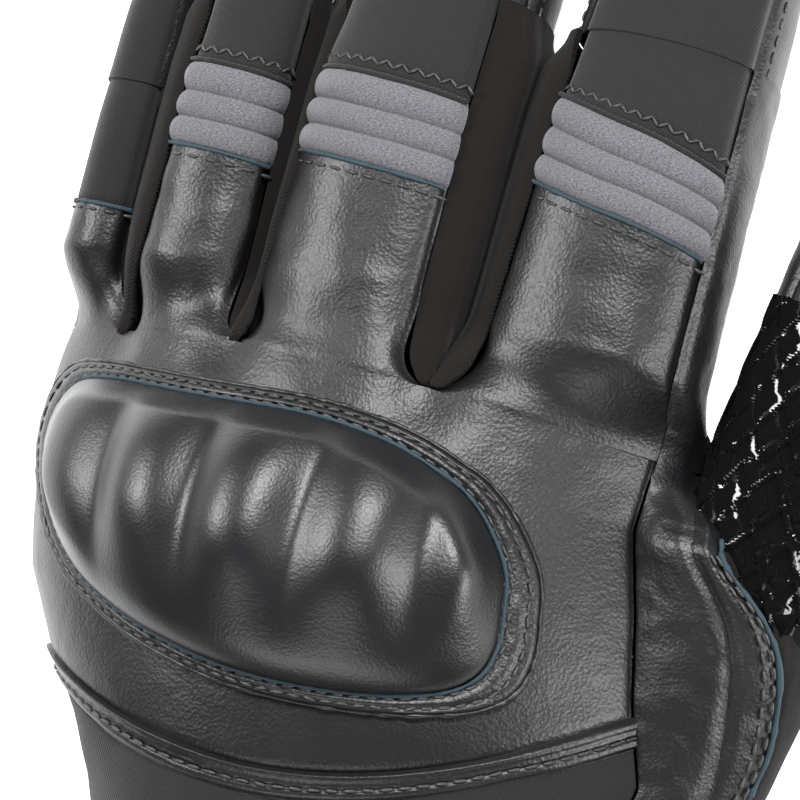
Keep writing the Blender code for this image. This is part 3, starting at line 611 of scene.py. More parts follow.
def finish_mesh(piece, look, sharp=40.0):
    piece.data.materials.clear()
    piece.data.materials.append(LOOKS[look])
    only(piece)
    bpy.ops.object.shade_smooth_by_angle(angle=math.radians(sharp))
    return piece


def apply(piece, kind, **settings):
    only(piece)
    modifier = piece.modifiers.new(kind, kind)
    for key, value in settings.items():
        setattr(modifier, key, value)
    bpy.ops.object.modifier_apply(modifier=modifier.name)


def steps(points):
    """Running length along the first axis of a grid of points."""
    gaps = np.linalg.norm(np.diff(points, axis=0), axis=-1)
    return np.concatenate((np.zeros((1,) + gaps.shape[1:]), np.cumsum(gaps, axis=0)))


def steps_across(points):
    """Running length along the second axis of a grid of points."""
    return np.moveaxis(steps(np.moveaxis(points, 1, 0)), 0, 1)


def grid(name, places, look, wall, closed=False, outward=None, sharp=40.0):
    """A sheet through rows of places, in pattern units, given a thickness in metres inwards."""
    rows, columns = places.shape[:2]
    nothing_selected()
    bpy.ops.mesh.primitive_grid_add(x_subdivisions=columns - 1, y_subdivisions=rows - 1, size=2)
    piece = bpy.context.object
    piece.name = piece.data.name = name
    piece.data.vertices.foreach_set("co", (places * UNIT).astype(np.float32).ravel())
    mm = UNIT * 1000
    across = steps_across(places) * mm
    along = steps(places) * mm
    across = across - across.mean(axis=1, keepdims=True)
    cloth = np.stack((across, along), -1).reshape(-1, 2)
    corner = np.empty(len(piece.data.loops), int)
    piece.data.loops.foreach_get("vertex_index", corner)
    piece.data.uv_layers[0].data.foreach_set("uv", cloth[corner].astype(np.float32).ravel())
    piece.data.update()
    middle = piece.data.polygons[(rows // 2) * (columns - 1) + (columns - 1) // 2]
    if outward is not None and middle.normal.dot(Vector(outward)) < 0:
        piece.data.flip_normals()
    if closed:
        apply(piece, "WELD", merge_threshold=0.00001)
    if wall:
        apply(piece, "SOLIDIFY", thickness=wall, offset=-1.0, use_even_offset=False)
    return finish_mesh(piece, look, sharp)


def graded_steps(count, crowd=0.6):
    """Numbers from 0 to 1 that crowd towards both ends."""
    t = np.linspace(0.0, 1.0, count)
    return t * (1 - crowd) + (0.5 - 0.5 * np.cos(np.pi * t)) * crowd


def cover(name, surface, rows, columns, look, wall, roll="LRSE", drop=0.9, width=1.5, puff=0.0, extra=None,
          flat=0.0):
    """A sewn panel. Its borders roll down into their seams, and it puffs a little between them.

    surface(v, u, lift) gives places; v runs along the panel and u across it. roll names the borders that roll
    down: left and right, where u is 0 and 1, start and end, where v is 0 and 1.
    """
    v, u = np.meshgrid(graded_steps(rows), graded_steps(columns), indexing="ij")
    base = surface(v, u, np.full(v.shape, flat))
    across = steps_across(base)
    along = steps(base)
    far = np.full(v.shape, 1e6)
    for border, away in zip("LRSE", (across, across[:, -1:] - across, along, along[-1:] - along)):
        if border in roll:
            far = np.minimum(far, away)
    lift = flat - drop * np.exp(-((far / width) ** 2)) + puff * (1.0 - np.exp(-far / 5.0))
    if extra is not None:
        lift = lift + extra(base, v, u)
    middle = (rows // 2, columns // 2)
    outward = surface(v, u, lift + 1.0)[middle] - surface(v, u, lift)[middle]
    return grid(name, surface(v, u, lift), look, wall, outward=outward)


def loop_round(name, form, alongs, lifts, look, count=96, wall=0.0):
    """A band all the way round a level form, through rows of places along it and heights over it."""
    degrees = np.linspace(0.0, 360.0, count + 1)
    rows, heights = np.asarray(alongs, float)[:, None], np.asarray(lifts, float)[:, None]
    places = form.point(rows, degrees[None, :], heights)
    places[:, -1] = places[:, 0]
    row = len(alongs) // 2
    middle = degrees[count // 2]
    outward = form.point(alongs[row], middle, 5.0) - form.point(alongs[row], middle, 0.0)
    return grid(name, places, look, wall, closed=True, outward=outward)


def tidy_normals(piece):
    only(piece)
    bpy.ops.object.mode_set(mode="EDIT")
    bpy.ops.mesh.select_all(action="SELECT")
    bpy.ops.mesh.normals_make_consistent(inside=False)
    bpy.ops.object.mode_set(mode="OBJECT")


def along_path(path, gap):
    """Even places along a line of points, with their directions."""
    run = steps(path)
    count = max(2, int(run[-1] / gap))
    at = np.linspace(0, run[-1], count)
    places = np.stack([np.interp(at, run, path[:, k]) for k in range(3)], -1)
    ways = np.gradient(places, axis=0)
    return places, ways / np.linalg.norm(ways, axis=-1, keepdims=True)


def stitch_shape():
    """One stitch: a small round-ended bar along X, one unit long and one thick."""
    nothing_selected()
    bpy.ops.mesh.primitive_uv_sphere_add(segments=6, ring_count=5, radius=0.5, rotation=(0, math.pi / 2, 0))
    piece = bpy.context.object
    bpy.ops.object.transform_apply(location=True, rotation=True, scale=True)
    shape = np.array([v.co for v in piece.data.vertices])
    faces = [list(p.vertices) for p in piece.data.polygons]
    bpy.data.objects.remove(piece)
    shape[:, 0] = np.sign(shape[:, 0]) * np.abs(shape[:, 0]) ** 0.6 * 0.5**0.4
    return shape, faces


STITCH = None


def stitches(name, path, normals, sizes, look="thread", turn=0.0, sink=0.15, seed=1, jitter=0.0):
    """A row of stitches along a line, sunk a little at both ends. sizes is length, pitch and thickness."""
    global STITCH
    if STITCH is None:
        STITCH = stitch_shape()
    shape, faces = STITCH
    long, pitch, thick = sizes
    draw = np.random.default_rng(seed)
    places, ways = along_path(np.asarray(path), pitch)
    run, every = steps(np.asarray(path)), steps(places)
    up = np.stack([np.interp(every, run, np.asarray(normals)[:, k]) for k in range(3)], -1)
    up /= np.linalg.norm(up, axis=-1, keepdims=True)
    side = np.cross(up, ways)
    side /= np.linalg.norm(side, axis=-1, keepdims=True)
    vertices, polygons, cloth = [], [], []
    for i in range(len(places) - 1):
        angle = math.radians(turn * (1 if i % 2 else -1) if turn else 0.0) + draw.normal(0, 1) * jitter
        way = ways[i] * math.cos(angle) + side[i] * math.sin(angle)
        beside = np.cross(up[i], way)
        size = long * (1 + draw.normal(0, 1) * jitter * 0.5)
        bow = 0.30 * thick * (1 - (2 * shape[:, 0]) ** 2)
        local = (
            shape[:, :1] * size * way
            + shape[:, 1:2] * thick * beside
            + (shape[:, 2:] * thick * 0.9 + bow[:, None] - sink * thick) * up[i]
        )
        start = len(vertices) * len(shape)
        vertices.append(places[i] + local)
        polygons += [[start + k for k in face] for face in faces]
        cloth.append(shape[:, :2])
    return merged(name, np.concatenate(vertices), polygons, look, np.concatenate(cloth))


def merged(name, vertices, polygons, look, cloth=None):
    """A mesh from copies of one shape."""
    mesh = bpy.data.meshes.new(name)
    mesh.from_pydata((vertices * UNIT).tolist(), [], polygons)
    mesh.uv_layers.new(name="UVMap")
    if cloth is not None:
        corner = np.empty(len(mesh.loops), int)
        mesh.loops.foreach_get("vertex_index", corner)
        mesh.uv_layers[0].data.foreach_set("uv", cloth[corner].astype(np.float32).ravel())
    piece = bpy.data.objects.new(name, mesh)
    bpy.context.scene.collection.objects.link(piece)
    tidy_normals(piece)
    return finish_mesh(piece, look, 60.0)


def cord_along(name, path, radius, look, closed=False, sides=7, wobble=0.0, normals=None):
    """A thin round line of material, such as a cut edge, along a path."""
    path = np.asarray(path, float)
    ways = np.gradient(path, axis=0)
    if closed:
        ways[0] = ways[-1] = path[1] - path[-2]
    ways /= np.linalg.norm(ways, axis=-1, keepdims=True)
    up = np.asarray(normals) if normals is not None else np.tile((0.0, 0.0, 1.0), (len(path), 1))
    side = np.cross(up, ways)
    side /= np.linalg.norm(side, axis=-1, keepdims=True)
    up = np.cross(ways, side)
    turn = np.linspace(0, math.tau, sides + 1)
    size = radius * (1 + wobble * drift(path, 1.3, 4.0))[:, None, None]
    if not closed:
        size[0] = size[-1] = radius * 0.05
    ring = np.cos(turn)[None, :, None] * side[:, None] + np.sin(turn)[None, :, None] * up[:, None]
    places = path[:, None] + ring * size
    places[:, -1] = places[:, 0]
    if closed:
        places[-1] = places[0]
    piece = grid(name, places, look, 0.0, closed=True, sharp=60.0)
    tidy_normals(piece)
    return piece


# ---- riding, and the stretches round the joints -------------------------------------------------


def stand(piece, slot, body, *nodes):
    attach(piece, body)
    if nodes:
        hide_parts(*nodes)
    return piece


def bend(piece, slot, bodies, zone, *nodes):
    """zone is the two places, in pattern units, between which the piece turns from one body to the other."""
    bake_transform(piece)
    if nodes:
        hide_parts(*nodes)
    return piece


# the stretch of cloth that bends: places before and after a knuckle and the thumb's hinge, and how far it
# reaches to both sides of a middle joint at most, of an end joint, and of the thumb's end joint
KNUCKLE_REACH, THUMB_HINGE_REACH = (-3.4, 11.0), (6.0, 20.0)
MIDDLE_REACH, END_REACH, THUMB_REACH = 8.5, 5.5, 8.0


def middle_reach(name):
    """How far the cloth bends before and after a finger's middle joint."""
    lengths = FINGERS[name][5]
    return min(MIDDLE_REACH, lengths[0] * 0.34), min(MIDDLE_REACH, lengths[1] * 0.38)


def finger_zones(name):
    """Where each of a finger's three joints bends the cloth, and the bodies on both sides."""
    form = FORMS[name]
    before_middle, after_middle = middle_reach(name)
    reaches = (KNUCKLE_REACH, (-before_middle, after_middle), (-END_REACH, END_REACH))
    bodies = ["hand"] + [f"{name}_{part}_body" for part in ("base", "mid", "tip")]
    zones = []
    for i, (before, after) in enumerate(reaches):
        place, way, _ = form.frame(float(form.hinges[i]))
        zones.append(((bodies[i], bodies[i + 1]), (place + way * before, place + way * after)))
    return zones


def split_s(name):
    """Places along a finger where no joint bends it: between its joints' zones."""
    form = FORMS[name]
    before, after = middle_reach(name)
    first = (KNUCKLE_REACH[1] + form.hinges[1] - before) / 2
    last = (form.hinges[1] + after + form.hinges[2] - END_REACH) / 2
    return first, last


def across_gap(name, y):
    """x of the crevice on the little-finger side of a finger, at y."""
    tip_x, tip_y, _ = GAPS[name]
    other = ORDER[ORDER.index(name) + 1]
    one, two = FORMS[name], FORMS[other]
    left = one.point(one.at_y(y), 180.0)[..., 0]
    right = two.point(two.at_y(y), 0.0)[..., 0]
    share = ease((np.asarray(y, float) - tip_y) / 20.0)
    return tip_x + ((left + right) / 2 - 0.4 - tip_x) * share


def junction_y(x):
    """Where the back of the hand hands over to the fingers' leather, just below the gaps' tips."""
    x = np.asarray(x, float)
    return np.interp(x, (-60.0, -39.6, -16.9, 17.9, 60.0), (69.0, 71.3, 74.2, 74.9, 72.5))


def swell(places):
    """The leather's own relief over the knuckles: hollows below the gaps, and soft drawn creases."""
    x, y = places[..., 0], places[..., 1]
    lift = np.zeros(x.shape)
    for tip_x, tip_y, half in GAPS.values():
        fade = ease((y - tip_y + 13.0) / 12.0) * (1.0 - ease((y - tip_y - 2.0) / 9.0))
        lift -= (1.5 + half * 0.12) * np.exp(-(((x - tip_x) / (4.4 + half * 0.3)) ** 2)) * fade
    near = ease((y - 60.0) / 10.0) * (1.0 - ease((y - 92.0) / 14.0))
    lift += near * (0.20 * drift(places, 5.2, 3.0) + 0.05 * drift(places, 2.3, 9.0))
    lift += 0.22 * drift(places, 11.0, 1.0) + 0.05 * drift(places, 2.4, 5.0)
    crown = np.exp(-(((y - 84.0) / 11.0) ** 2))
    for name in ORDER:
        knuckle_x, _, _, half_w = FINGERS[name][:4]
        lift += 0.9 * crown * np.exp(-(((x - knuckle_x) / (half_w * 0.62)) ** 2))
    return lift


def gaps_beside(name):
    """The gaps on a finger's thumb side and on its little-finger side, or None where it has none."""
    index = ORDER.index(name)
    return (ORDER[index - 1] if index else None), (name if name in GAPS else None)


def start_ends(name):
    """x at both ends of the line where a finger's panels start, on the hand."""
    right, left = gaps_beside(name)
    return (GAPS[right][0] if right else 53.0), (GAPS[left][0] if left else -53.5)


def border_x(name, y, side, rounded=True):
    """x of the edge of a finger's back leather over the hand. side is 1 towards the thumb."""
    gap_name = gaps_beside(name)[0 if side > 0 else 1]
    if gap_name is None:
        return HAND.point(y, SEAM_THUMB if side > 0 else SEAM_LITTLE)[..., 0]
    _, tip_y, half = GAPS[gap_name]
    t = np.clip((y - tip_y + 0.6) / (half * 1.15), 0.0, 1.0) if rounded else 1.0
    wide = half * np.sqrt(np.clip(1 - (1 - t) ** 2, 0, 1)) * (1.0 if rounded else 1.15)
    return across_gap(gap_name, y) - side * wide


def hand_share(y, start):
    return ease((y - start) / 13.0)[..., None]


def index_side(y, share_down, lift=0.0):
    """The hand's thumb side where it turns into the index finger, from its back seam to its palm seam."""
    form = FORMS["index"]
    top = FINGERS["index"][8][0]
    over_hand = HAND.point(y, SEAM_THUMB + (PALM_THUMB - SEAM_THUMB) * share_down, lift)
    over_finger = form.point(form.at_y(y), top - (LOW_SEAM + top) * share_down, lift)
    share = hand_share(y, float(junction_y(start_ends("index")[0])))
    return over_hand * (1 - share) + over_finger * share


def finger_back(name):
    """The surface of a finger's leather from the junction to the ribs: (v, u, lift) to places."""
    form = FORMS[name]
    seams = FINGERS[name][8]
    stop = form.hinges[1] - (RIBBED if name != "little" else LITTLE_KNIT)
    end_y = float(form.frame(stop)[0][1])
    right_x, left_x = start_ends(name)

    def surface(v, u, lift):
        start = junction_y(right_x + (left_x - right_x) * u)
        y = start + (end_y + SKEW[name] * (2 * u - 1) - start) * v
        x = border_x(name, y, 1) * (1 - u) + border_x(name, y, -1) * u
        over_finger = form.point(form.at_y(y), seams[0] + (seams[1] - seams[0]) * u, lift)
        share = hand_share(y, start)
        return HAND.back(x, y, lift) * (1 - share) + over_finger * share

    return surface, stop


# ---- the pieces ---------------------------------------------------------------------------------


def hem_y(x):
    return HEM_Y + HEM_RISE * (x - HEM_X) ** 2 * np.where(x < HEM_X, 0.66, 1.0)


def meeting(line, degrees):
    """y where a line across the hand, a function of x, meets the hand's form at an angle."""
    y = line(HAND.point(40.0, degrees)[..., 0])
    for _ in range(4):
        y = (y + line(HAND.point(y, degrees)[..., 0])) / 2
    return y


def back_surface(start, stop, first=SEAM_THUMB, last=SEAM_LITTLE):
    """The hand's form between two lines across it, which are functions of x, and two angles."""

    def surface(v, u, lift):
        degrees = first + (last - first) * u
        y = meeting(lambda x: start(x) + (stop(x) - start(x)) * v, degrees)
        return HAND.point(y, degrees, lift)

    return surface


def level(y):
    return lambda x: np.full(np.shape(x), float(y))


def relief(scale):
    return lambda places, v, u: swell(places) * scale


def lumps(*rows):
    """Relief of irregular lumps. Each row is a height, a size and a seed."""
    return lambda places, v, u: sum(height * drift(places, size, seed) for height, size, seed in rows)


def back_leather():
    wall = bpy.context.scene.glove_sizes.leather_wall
    surface = back_surface(hem_y, junction_y)
    piece = cover(
        "back_leather", surface, 90, 150, "leather", wall, roll="LRS", drop=0.6, width=1.1, extra=relief(1.0)
    )
    return stand(piece, "leather", "hand", "back_panel")


def guard_place(share, turn_share):
    """Places of the guard's outline, drawn smoothly, at that share of the way out from its centre."""
    outline = np.array(GUARD)
    count = len(outline)
    at = (turn_share % 1.0) * count
    i = np.floor(at).astype(int)
    t = (at - i)[..., None]
    p = [outline[(i + k) % count] for k in (-1, 0, 1, 2)]
    smooth = 0.5 * (
        2 * p[1] + (p[2] - p[0]) * t + (2 * p[0] - 5 * p[1] + 4 * p[2] - p[3]) * t**2
        + (3 * p[1] - p[0] - 3 * p[2] + p[3]) * t**3
    )  # fmt: skip
    centre = np.array(GUARD_CENTRE)
    place = centre + (smooth - centre) * share[..., None]
    return place[..., 0], place[..., 1]


def guard_rings(shares, around):
    """Rings round the guard's centre: their shares of the way out to its outline, and x and y along them."""
    share, turn = np.broadcast_arrays(shares[:, None], np.linspace(0, 1, around + 1)[None, :])
    return share, *guard_place(share, turn)


def guard_point(x, y, lift):
    degrees = np.degrees(np.arccos(np.clip(x / GUARD_WRAP, -0.99, 0.99)))
    return HAND.point(y, degrees, lift)


def guard_lift(share, x, y):
    """Height of the moulded shell: a steep rounded edge, a dome, and five bumps that fade downwards."""
    sizes = bpy.context.scene.glove_sizes
    dome, bump = sizes.guard_height / UNIT, sizes.bump_height / UNIT
    edge = np.clip(1.0 - share**6.0, 0.0, 1.0) ** 0.55
    lift = dome * edge * (0.74 + 0.26 * (1.0 - share**2))
    inside = ease((1.0 - share) / 0.20)
    total = np.zeros(x.shape)
    for bump_x, bump_y, size in BUMPS:
        lean = bump_x + (y - bump_y) * 0.06
        near = np.exp(-((np.abs(x - lean) / BUMP_HALF) ** 2.3))
        reach = np.where(y < bump_y, 13.0, 18.0)
        fade = np.exp(-((np.abs(y - bump_y) / reach) ** 2.4))
        total = total + (size * near * fade) ** 3
    return lift + bump * np.cbrt(total) * inside


def knuckle_guard():
    shares = np.concatenate((np.linspace(0.0, 0.86, 60), np.linspace(0.87, 1.0, 30)))
    share, x, y = guard_rings(shares, 260)
    base = guard_point(x, y, 0.0)
    lift = 1.7 + guard_lift(share, x, y) + 0.07 * drift(base, 9.0, 2.0)
    places = guard_point(x, y, lift)
    skirt = guard_point(x[-1:], y[-1:], 0.2)
    places = np.concatenate((places, skirt))
    places[:, -1] = places[:, 0]
    places[0] = places[0].mean(axis=0)
    piece = grid("knuckle_guard", places, "guard_leather", 0.0, closed=True, outward=(0, 0, 1), sharp=60.0)
    apply(piece, "SOLIDIFY", thickness=0.0012, offset=-1.0)
    piece = finish_mesh(piece, "guard_leather", 60.0)
    return stand(piece, "guard_leather", "hand", "knuckle_guard")


def guard_line(share, lift, count=420):
    """A closed line round the guard and the directions away from the hand along it."""
    turn = np.linspace(0, 1, count + 1)
    x, y = guard_place(np.full(turn.shape, share), turn)
    line = guard_point(x, y, lift)
    return line, guard_point(x, y, lift + 1.0) - line


def flange():
    """The leather ring that holds the guard down, its cut edges and its rows of stitching."""
    inner, width = 0.985, 0.15
    share, x, y = guard_rings(np.linspace(inner, inner + width, 15), 320)
    t = (share - inner) / width
    lift = 0.15 + 1.45 * np.clip(1.0 - (2 * np.abs(t - 0.52)) ** 5, 0, 1)
    for row in (0.30, 0.70):
        lift = lift - 0.42 * np.exp(-(((t - row) / 0.08) ** 2))
    base = guard_point(x, y, 0.0)
    lift = lift + (0.12 * drift(base, 1.6, 7.0) + 0.1 * drift(base, 4.0, 2.0)) * (1 - (2 * t - 1) ** 4)
    places = guard_point(x, y, lift)
    places[:, -1] = places[:, 0]
    piece = grid("guard_flange", places, "leather", 0.0011, closed=True, outward=(0, 0, 1))
    stand(piece, "leather", "hand", "guard_flange")
    for name, share, height, radius, look, wobble in (
        ("guard_cut_edge", 1.012, 1.5, 0.34, "edge", 0.35),
        ("flange_cut_edge", 1.137, 0.55, 0.42, "leather", 0.5),
    ):
        line, up = guard_line(share, height)
        piece = cord_along(name, line, radius, look, closed=True, wobble=wobble, normals=up)
        stand(piece, "leather", "hand")
    for name, share, seed in (("inner", 1.030, 5), ("outer", 1.090, 6)):
        line, up = guard_line(share, 1.34)
        piece = stitches(f"guard_stitches_{name}", line, up, thread_sizes(0.9), seed=seed, jitter=0.10)
        stand(piece, "leather", "hand")


def thread_sizes(scale=1.0):
    sizes = bpy.context.scene.glove_sizes
    long = sizes.stitch / UNIT * scale
    return long, long * 1.24, sizes.thread / UNIT


def surface_line(surface, v, u, lift, count=240):
    """A line on a panel's surface and its directions outwards. v and u are numbers or pairs of ends."""
    v = np.linspace(*v, count) if isinstance(v, tuple) else np.full(count, float(v))
    u = np.linspace(*u, count) if isinstance(u, tuple) else np.full(count, float(u))
    rise = swell(surface(v, u, 0.0)) if surface in SWOLLEN else 0.0
    line = surface(v, u, lift + rise)
    return line, surface(v, u, lift + rise + 1.0) - line


SWOLLEN = set()


def finger_leather():
    """The leather over the base of each finger, its cut upper edge and its stitching."""
    wall = bpy.context.scene.glove_sizes.leather_wall
    for name in ORDER:
        surface, _ = finger_back(name)
        SWOLLEN.add(surface)
        zone = finger_zones(name)[0]
        piece = cover(
            f"{name}_leather", surface, 84, 64, "leather", wall, roll="LR", drop=1.0, width=1.25,
            extra=lambda places, v, u: swell(places) - 0.12 * (1 - ease(v * 25)),
        )  # fmt: skip
        bend(piece, "leather", *zone, f"{name}_base_back")
        line, up = surface_line(surface, 1.0, (0.03, 0.97), 0.1, 120)
        edge = cord_along(f"{name}_leather_cut_edge", line, 0.36, "edge", wobble=0.45, normals=up)
        bend(edge, "leather", *zone)
        line, up = surface_line(surface, 0.945, (0.04, 0.96), 0.12, 120)
        bend(stitches(f"{name}_leather_stitches", line, up, thread_sizes(0.95), seed=21), "leather", *zone)


def back_span(name):
    return FINGERS[name][8]


LOW_SEAM = 46.0  # degrees below the middle of a finger's side to its palm seam


def wall_surface(name, side, first, last):
    """The wall of a finger on one side, between two distances along it, from its back seam to its palm."""
    form = FORMS[name]
    seams = back_span(name)
    gap_name = gaps_beside(name)[0 if side > 0 else 1]
    top = seams[0] if side > 0 else seams[1]
    low = -LOW_SEAM if side > 0 else 180.0 + LOW_SEAM
    start_x = start_ends(name)[0 if side > 0 else 1]
    start = float(junction_y(start_x))
    first_y, last_y = (float(form.frame(s)[0][1]) for s in (first, last))
    if gap_name is not None:
        tip_y = GAPS[gap_name][1] - 0.6
        first_y = max(first_y, tip_y)

    def outer(v, u, lift):
        y = max(first_y, start) + (last_y - max(first_y, start)) * v
        hand_top, hand_low = (SEAM_THUMB, PALM_THUMB) if side > 0 else (SEAM_LITTLE, PALM_LITTLE)
        over_hand = HAND.point(y, hand_top + (hand_low - hand_top) * u, lift)
        over_finger = form.point(form.at_y(y), top + (low - top) * u, lift)
        share = hand_share(y, start)
        return over_hand * (1 - share) + over_finger * share

    def inner(v, u, lift):
        y = first_y + (last_y - first_y) * v
        s = form.at_y(y)
        share = hand_share(y, start)
        at_tip = ease((y - tip_y) / 13.0)
        beside = border_x(name, y, side) + side * 0.9 * ease((y - tip_y) / 2.0)
        edge = HAND.back(beside, y, -0.7) + swell(HAND.back(beside, y))[..., None] * (0.0, 0.0, 1.0)
        edge = edge * (1 - share)
        edge = edge + form.point(s, np.full(y.shape, top), -0.5) * share
        base = HAND.under(border_x(name, y, side, rounded=False), y, 0.0) * (1 - share)
        base = base + form.point(s, np.full(y.shape, low), 0.0) * share
        middle = across_gap(gap_name, y) - side * 0.3
        contact = edge[..., 2] - 0.5 - 3.4 * at_tip - 0.8 * share[..., 0]
        turn = np.clip(u / 0.42, 0.0, 1.0) * math.pi / 2
        under = np.clip((u - 0.72) / 0.28, 0.0, 1.0) * math.pi / 2
        down = np.clip((u - 0.42) / 0.30, 0.0, 1.0)
        x = edge[..., 0] + (middle - edge[..., 0]) * np.sin(turn)
        x = x + (base[..., 0] - middle) * (1.0 - np.cos(under))
        foot = base[..., 2] + 4.0
        z = edge[..., 2] + (contact - edge[..., 2]) * (1 - np.cos(turn))
        z = z + (foot - contact) * down + (base[..., 2] - foot) * np.sin(under)
        outwards = lift * (np.cos(turn) - np.sin(under))
        places = np.stack((x, y, z + outwards), -1)
        tube = form.point(s, top + (low - top) * u, lift)
        apart = ease((s - split_s(name)[1] + 7.0) / 7.0)[..., None]
        return places * (1 - apart) + tube * apart

    return outer if gap_name is None else inner


def finger_walls():
    """Twill between the fingers and leather down the two outer sides."""
    for name in ORDER:
        zones = finger_zones(name)
        first_split, last_split = split_s(name)
        for side, label in ((1, "thumb_side"), (-1, "little_side")):
            outer = gaps_beside(name)[0 if side > 0 else 1] is None
            look = "leather" if outer else "twill"
            what = "side_wall" if outer else "fourchette"
            spans = (
                (-9.0, first_split, zones[0], (f"{name}_{what}_{label}",), "base"),
                (first_split, last_split, zones[1], (), "mid"),
            )
            for first, last, zone, nodes, part in spans:
                surface = wall_surface(name, side, first, last)
                rows = max(24, int((last - first) * 2.2))
                piece = cover(
                    f"{name}_{part}_{what}_{label}", surface, rows, 40, look, 0.001, roll="LR",
                    drop=0.5 if outer else 0.0, width=1.0, puff=0.3,
                    extra=lumps((0.16, 4.0, 6.0), (0.05, 1.5, 8.0)),
                )  # fmt: skip
                bend(piece, look, *zone, *nodes)


def finger_palm():
    wall = bpy.context.scene.glove_sizes.leather_wall
    for name in ORDER:
        form = FORMS[name]
        zones = finger_zones(name)
        splits = split_s(name)
        right_x, left_x = start_ends(name)
        begin = float(junction_y((right_x + left_x) / 2)) - 2.2
        for first, last, zone, nodes, part in (
            (begin, float(form.frame(splits[0])[0][1]), zones[0], (f"{name}_base_palm",), "base"),
            (*(float(form.frame(s)[0][1]) for s in splits), zones[1], (f"{name}_mid_palm",), "mid"),
        ):

            def surface(v, u, lift, ends=(first, last), form=form, begin=begin, sides=(right_x, left_x)):
                y = ends[0] + (ends[1] - ends[0]) * v
                x = sides[0] + (sides[1] - sides[0]) * u
                over_finger = form.point(form.at_y(y), -LOW_SEAM + (2 * LOW_SEAM - 180.0) * u, lift)
                share = hand_share(y, begin)
                return HAND.under(x, y, lift) * (1 - share) + over_finger * share

            piece = cover(
                f"{name}_{part}_palm_leather", surface, 40, 40, "leather", wall, roll="LR", drop=0.7,
                extra=lumps((0.15, 3.0, 2.0)),
            )  # fmt: skip
            bend(piece, "leather", *zone, *nodes)


def finger_mids():
    """The knit over the middle of each finger, with the black strip and zig-zag stitching at its edge."""
    for name in ORDER:
        form = FORMS[name]
        zone = finger_zones(name)[1]
        seams = back_span(name)
        last = split_s(name)[1]
        first = form.hinges[1] - (0.0 if name != "little" else LITTLE_KNIT)

        def surface(v, u, lift, form=form, first=first, last=last, seams=seams, skew=SKEW[name]):
            s = first + (last - first) * v + skew * (2 * u - 1) * (1 - v)
            return form.point(s, seams[0] + (seams[1] - seams[0]) * u, lift)

        piece = cover(
            f"{name}_mid_knit", surface, 50, 48, "softshell", 0.0014, roll="LR", drop=0.9, width=1.3,
            extra=lambda places, v, u: 0.22 * drift(places, 8.0, 4.0) - 0.3 * (1 - ease(v * 20)),
        )  # fmt: skip
        bend(piece, "softshell", *zone, f"{name}_mid_back")
        if name == "little":
            continue
        line, up = surface_line(surface, 1.6 / (last - first), (0.03, 0.97), 0.12, 120)
        zigzag = stitches(f"{name}_zigzag", line, up, (1.9, 1.25, 0.5), turn=38.0, seed=31)
        bend(zigzag, "softshell", *zone)
        line, up = surface_line(surface, 0.0, (0.02, 0.98), 0.15, 100)
        edge = cord_along(f"{name}_knit_edge", line, 0.42, "softshell", wobble=0.2, normals=up)
        bend(edge, "softshell", *zone)


def rib_heights(along, ribs):
    """Height of the padded ribs, from 0 in the sewn channels to 1 on the crowns."""
    return np.abs(np.sin(along * ribs * np.pi)) ** 0.55


def finger_ribs():
    """Grey stretch panels with three padded ribs and a narrow flat border at each end."""
    puff = bpy.context.scene.glove_sizes.puff / UNIT
    for name in ORDER[:3]:
        form = FORMS[name]
        seams = back_span(name)
        zone = finger_zones(name)[1]
        first, last = form.hinges[1] - RIBBED, form.hinges[1]

        def surface(v, u, lift, form=form, first=first, last=last, seams=seams, skew=SKEW[name]):
            s = first + (last - first) * v + skew * (2 * u - 1)
            return form.point(s, seams[0] + 0.6 + (seams[1] - seams[0] - 1.2) * u, lift)

        def ribs(places, v, u):
            inside = np.clip((v - 0.02) / 0.96, 0.0, 1.0)
            wave = rib_heights(inside, 3)
            wave = wave * (0.92 + 0.16 * drift(places, 3.5, 2.0)) + 0.05 * drift(places, 1.4, 5.0)
            return puff * wave * (1 - 0.35 * (np.abs(2 * u - 1) ** 9))

        piece = cover(
            f"{name}_ribs", surface, 100, 90, "stretch_grey", 0.0012, roll="LR", drop=0.5, width=0.9,
            extra=ribs, flat=-0.25,
        )  # fmt: skip
        bend(piece, "stretch_grey", *zone, f"{name}_accordion")


def finger_tips():
    """Leather fingertips, closed over a rounded end, with a seam down each side."""
    wall = bpy.context.scene.glove_sizes.leather_wall
    for name in ORDER:
        form = FORMS[name]
        zone = finger_zones(name)[2]
        first = split_s(name)[1]
        piece = tip_cover(f"{name}_tip_leather", form, first, wall)
        bend(piece, "leather", *zone, f"{name}_tip")
        seams = back_span(name)

        def surface(v, u, lift, form=form, first=first, seams=seams):
            s = first + (form.total - form.round - first) * v * (1 - 0.16 * (2 * u - 1) ** 2)
            return form.point(s, seams[0] + (seams[1] - seams[0]) * u, lift + 0.4)

        piece = cover(
            f"{name}_end_knit", surface, 40, 48, "softshell", 0.0012, roll="LRE", drop=0.8, width=1.3,
            extra=lumps((0.2, 8.0, 4.0)),
        )  # fmt: skip
        bend(piece, "softshell", *zone)
        for side, degrees, aside in (("thumb", 22.0, -3.0), ("little", 158.0, 3.0)):
            s = np.linspace(first + 0.5, form.total - form.round * 0.5, 70)
            line = form.point(s, degrees + aside, 0.1)
            up = form.point(s, degrees, 1.1) - form.point(s, degrees, 0.1)
            made = stitches(f"{name}_tip_stitches_{side}", line, up, thread_sizes(0.9), seed=41)
            bend(made, "leather", *zone)


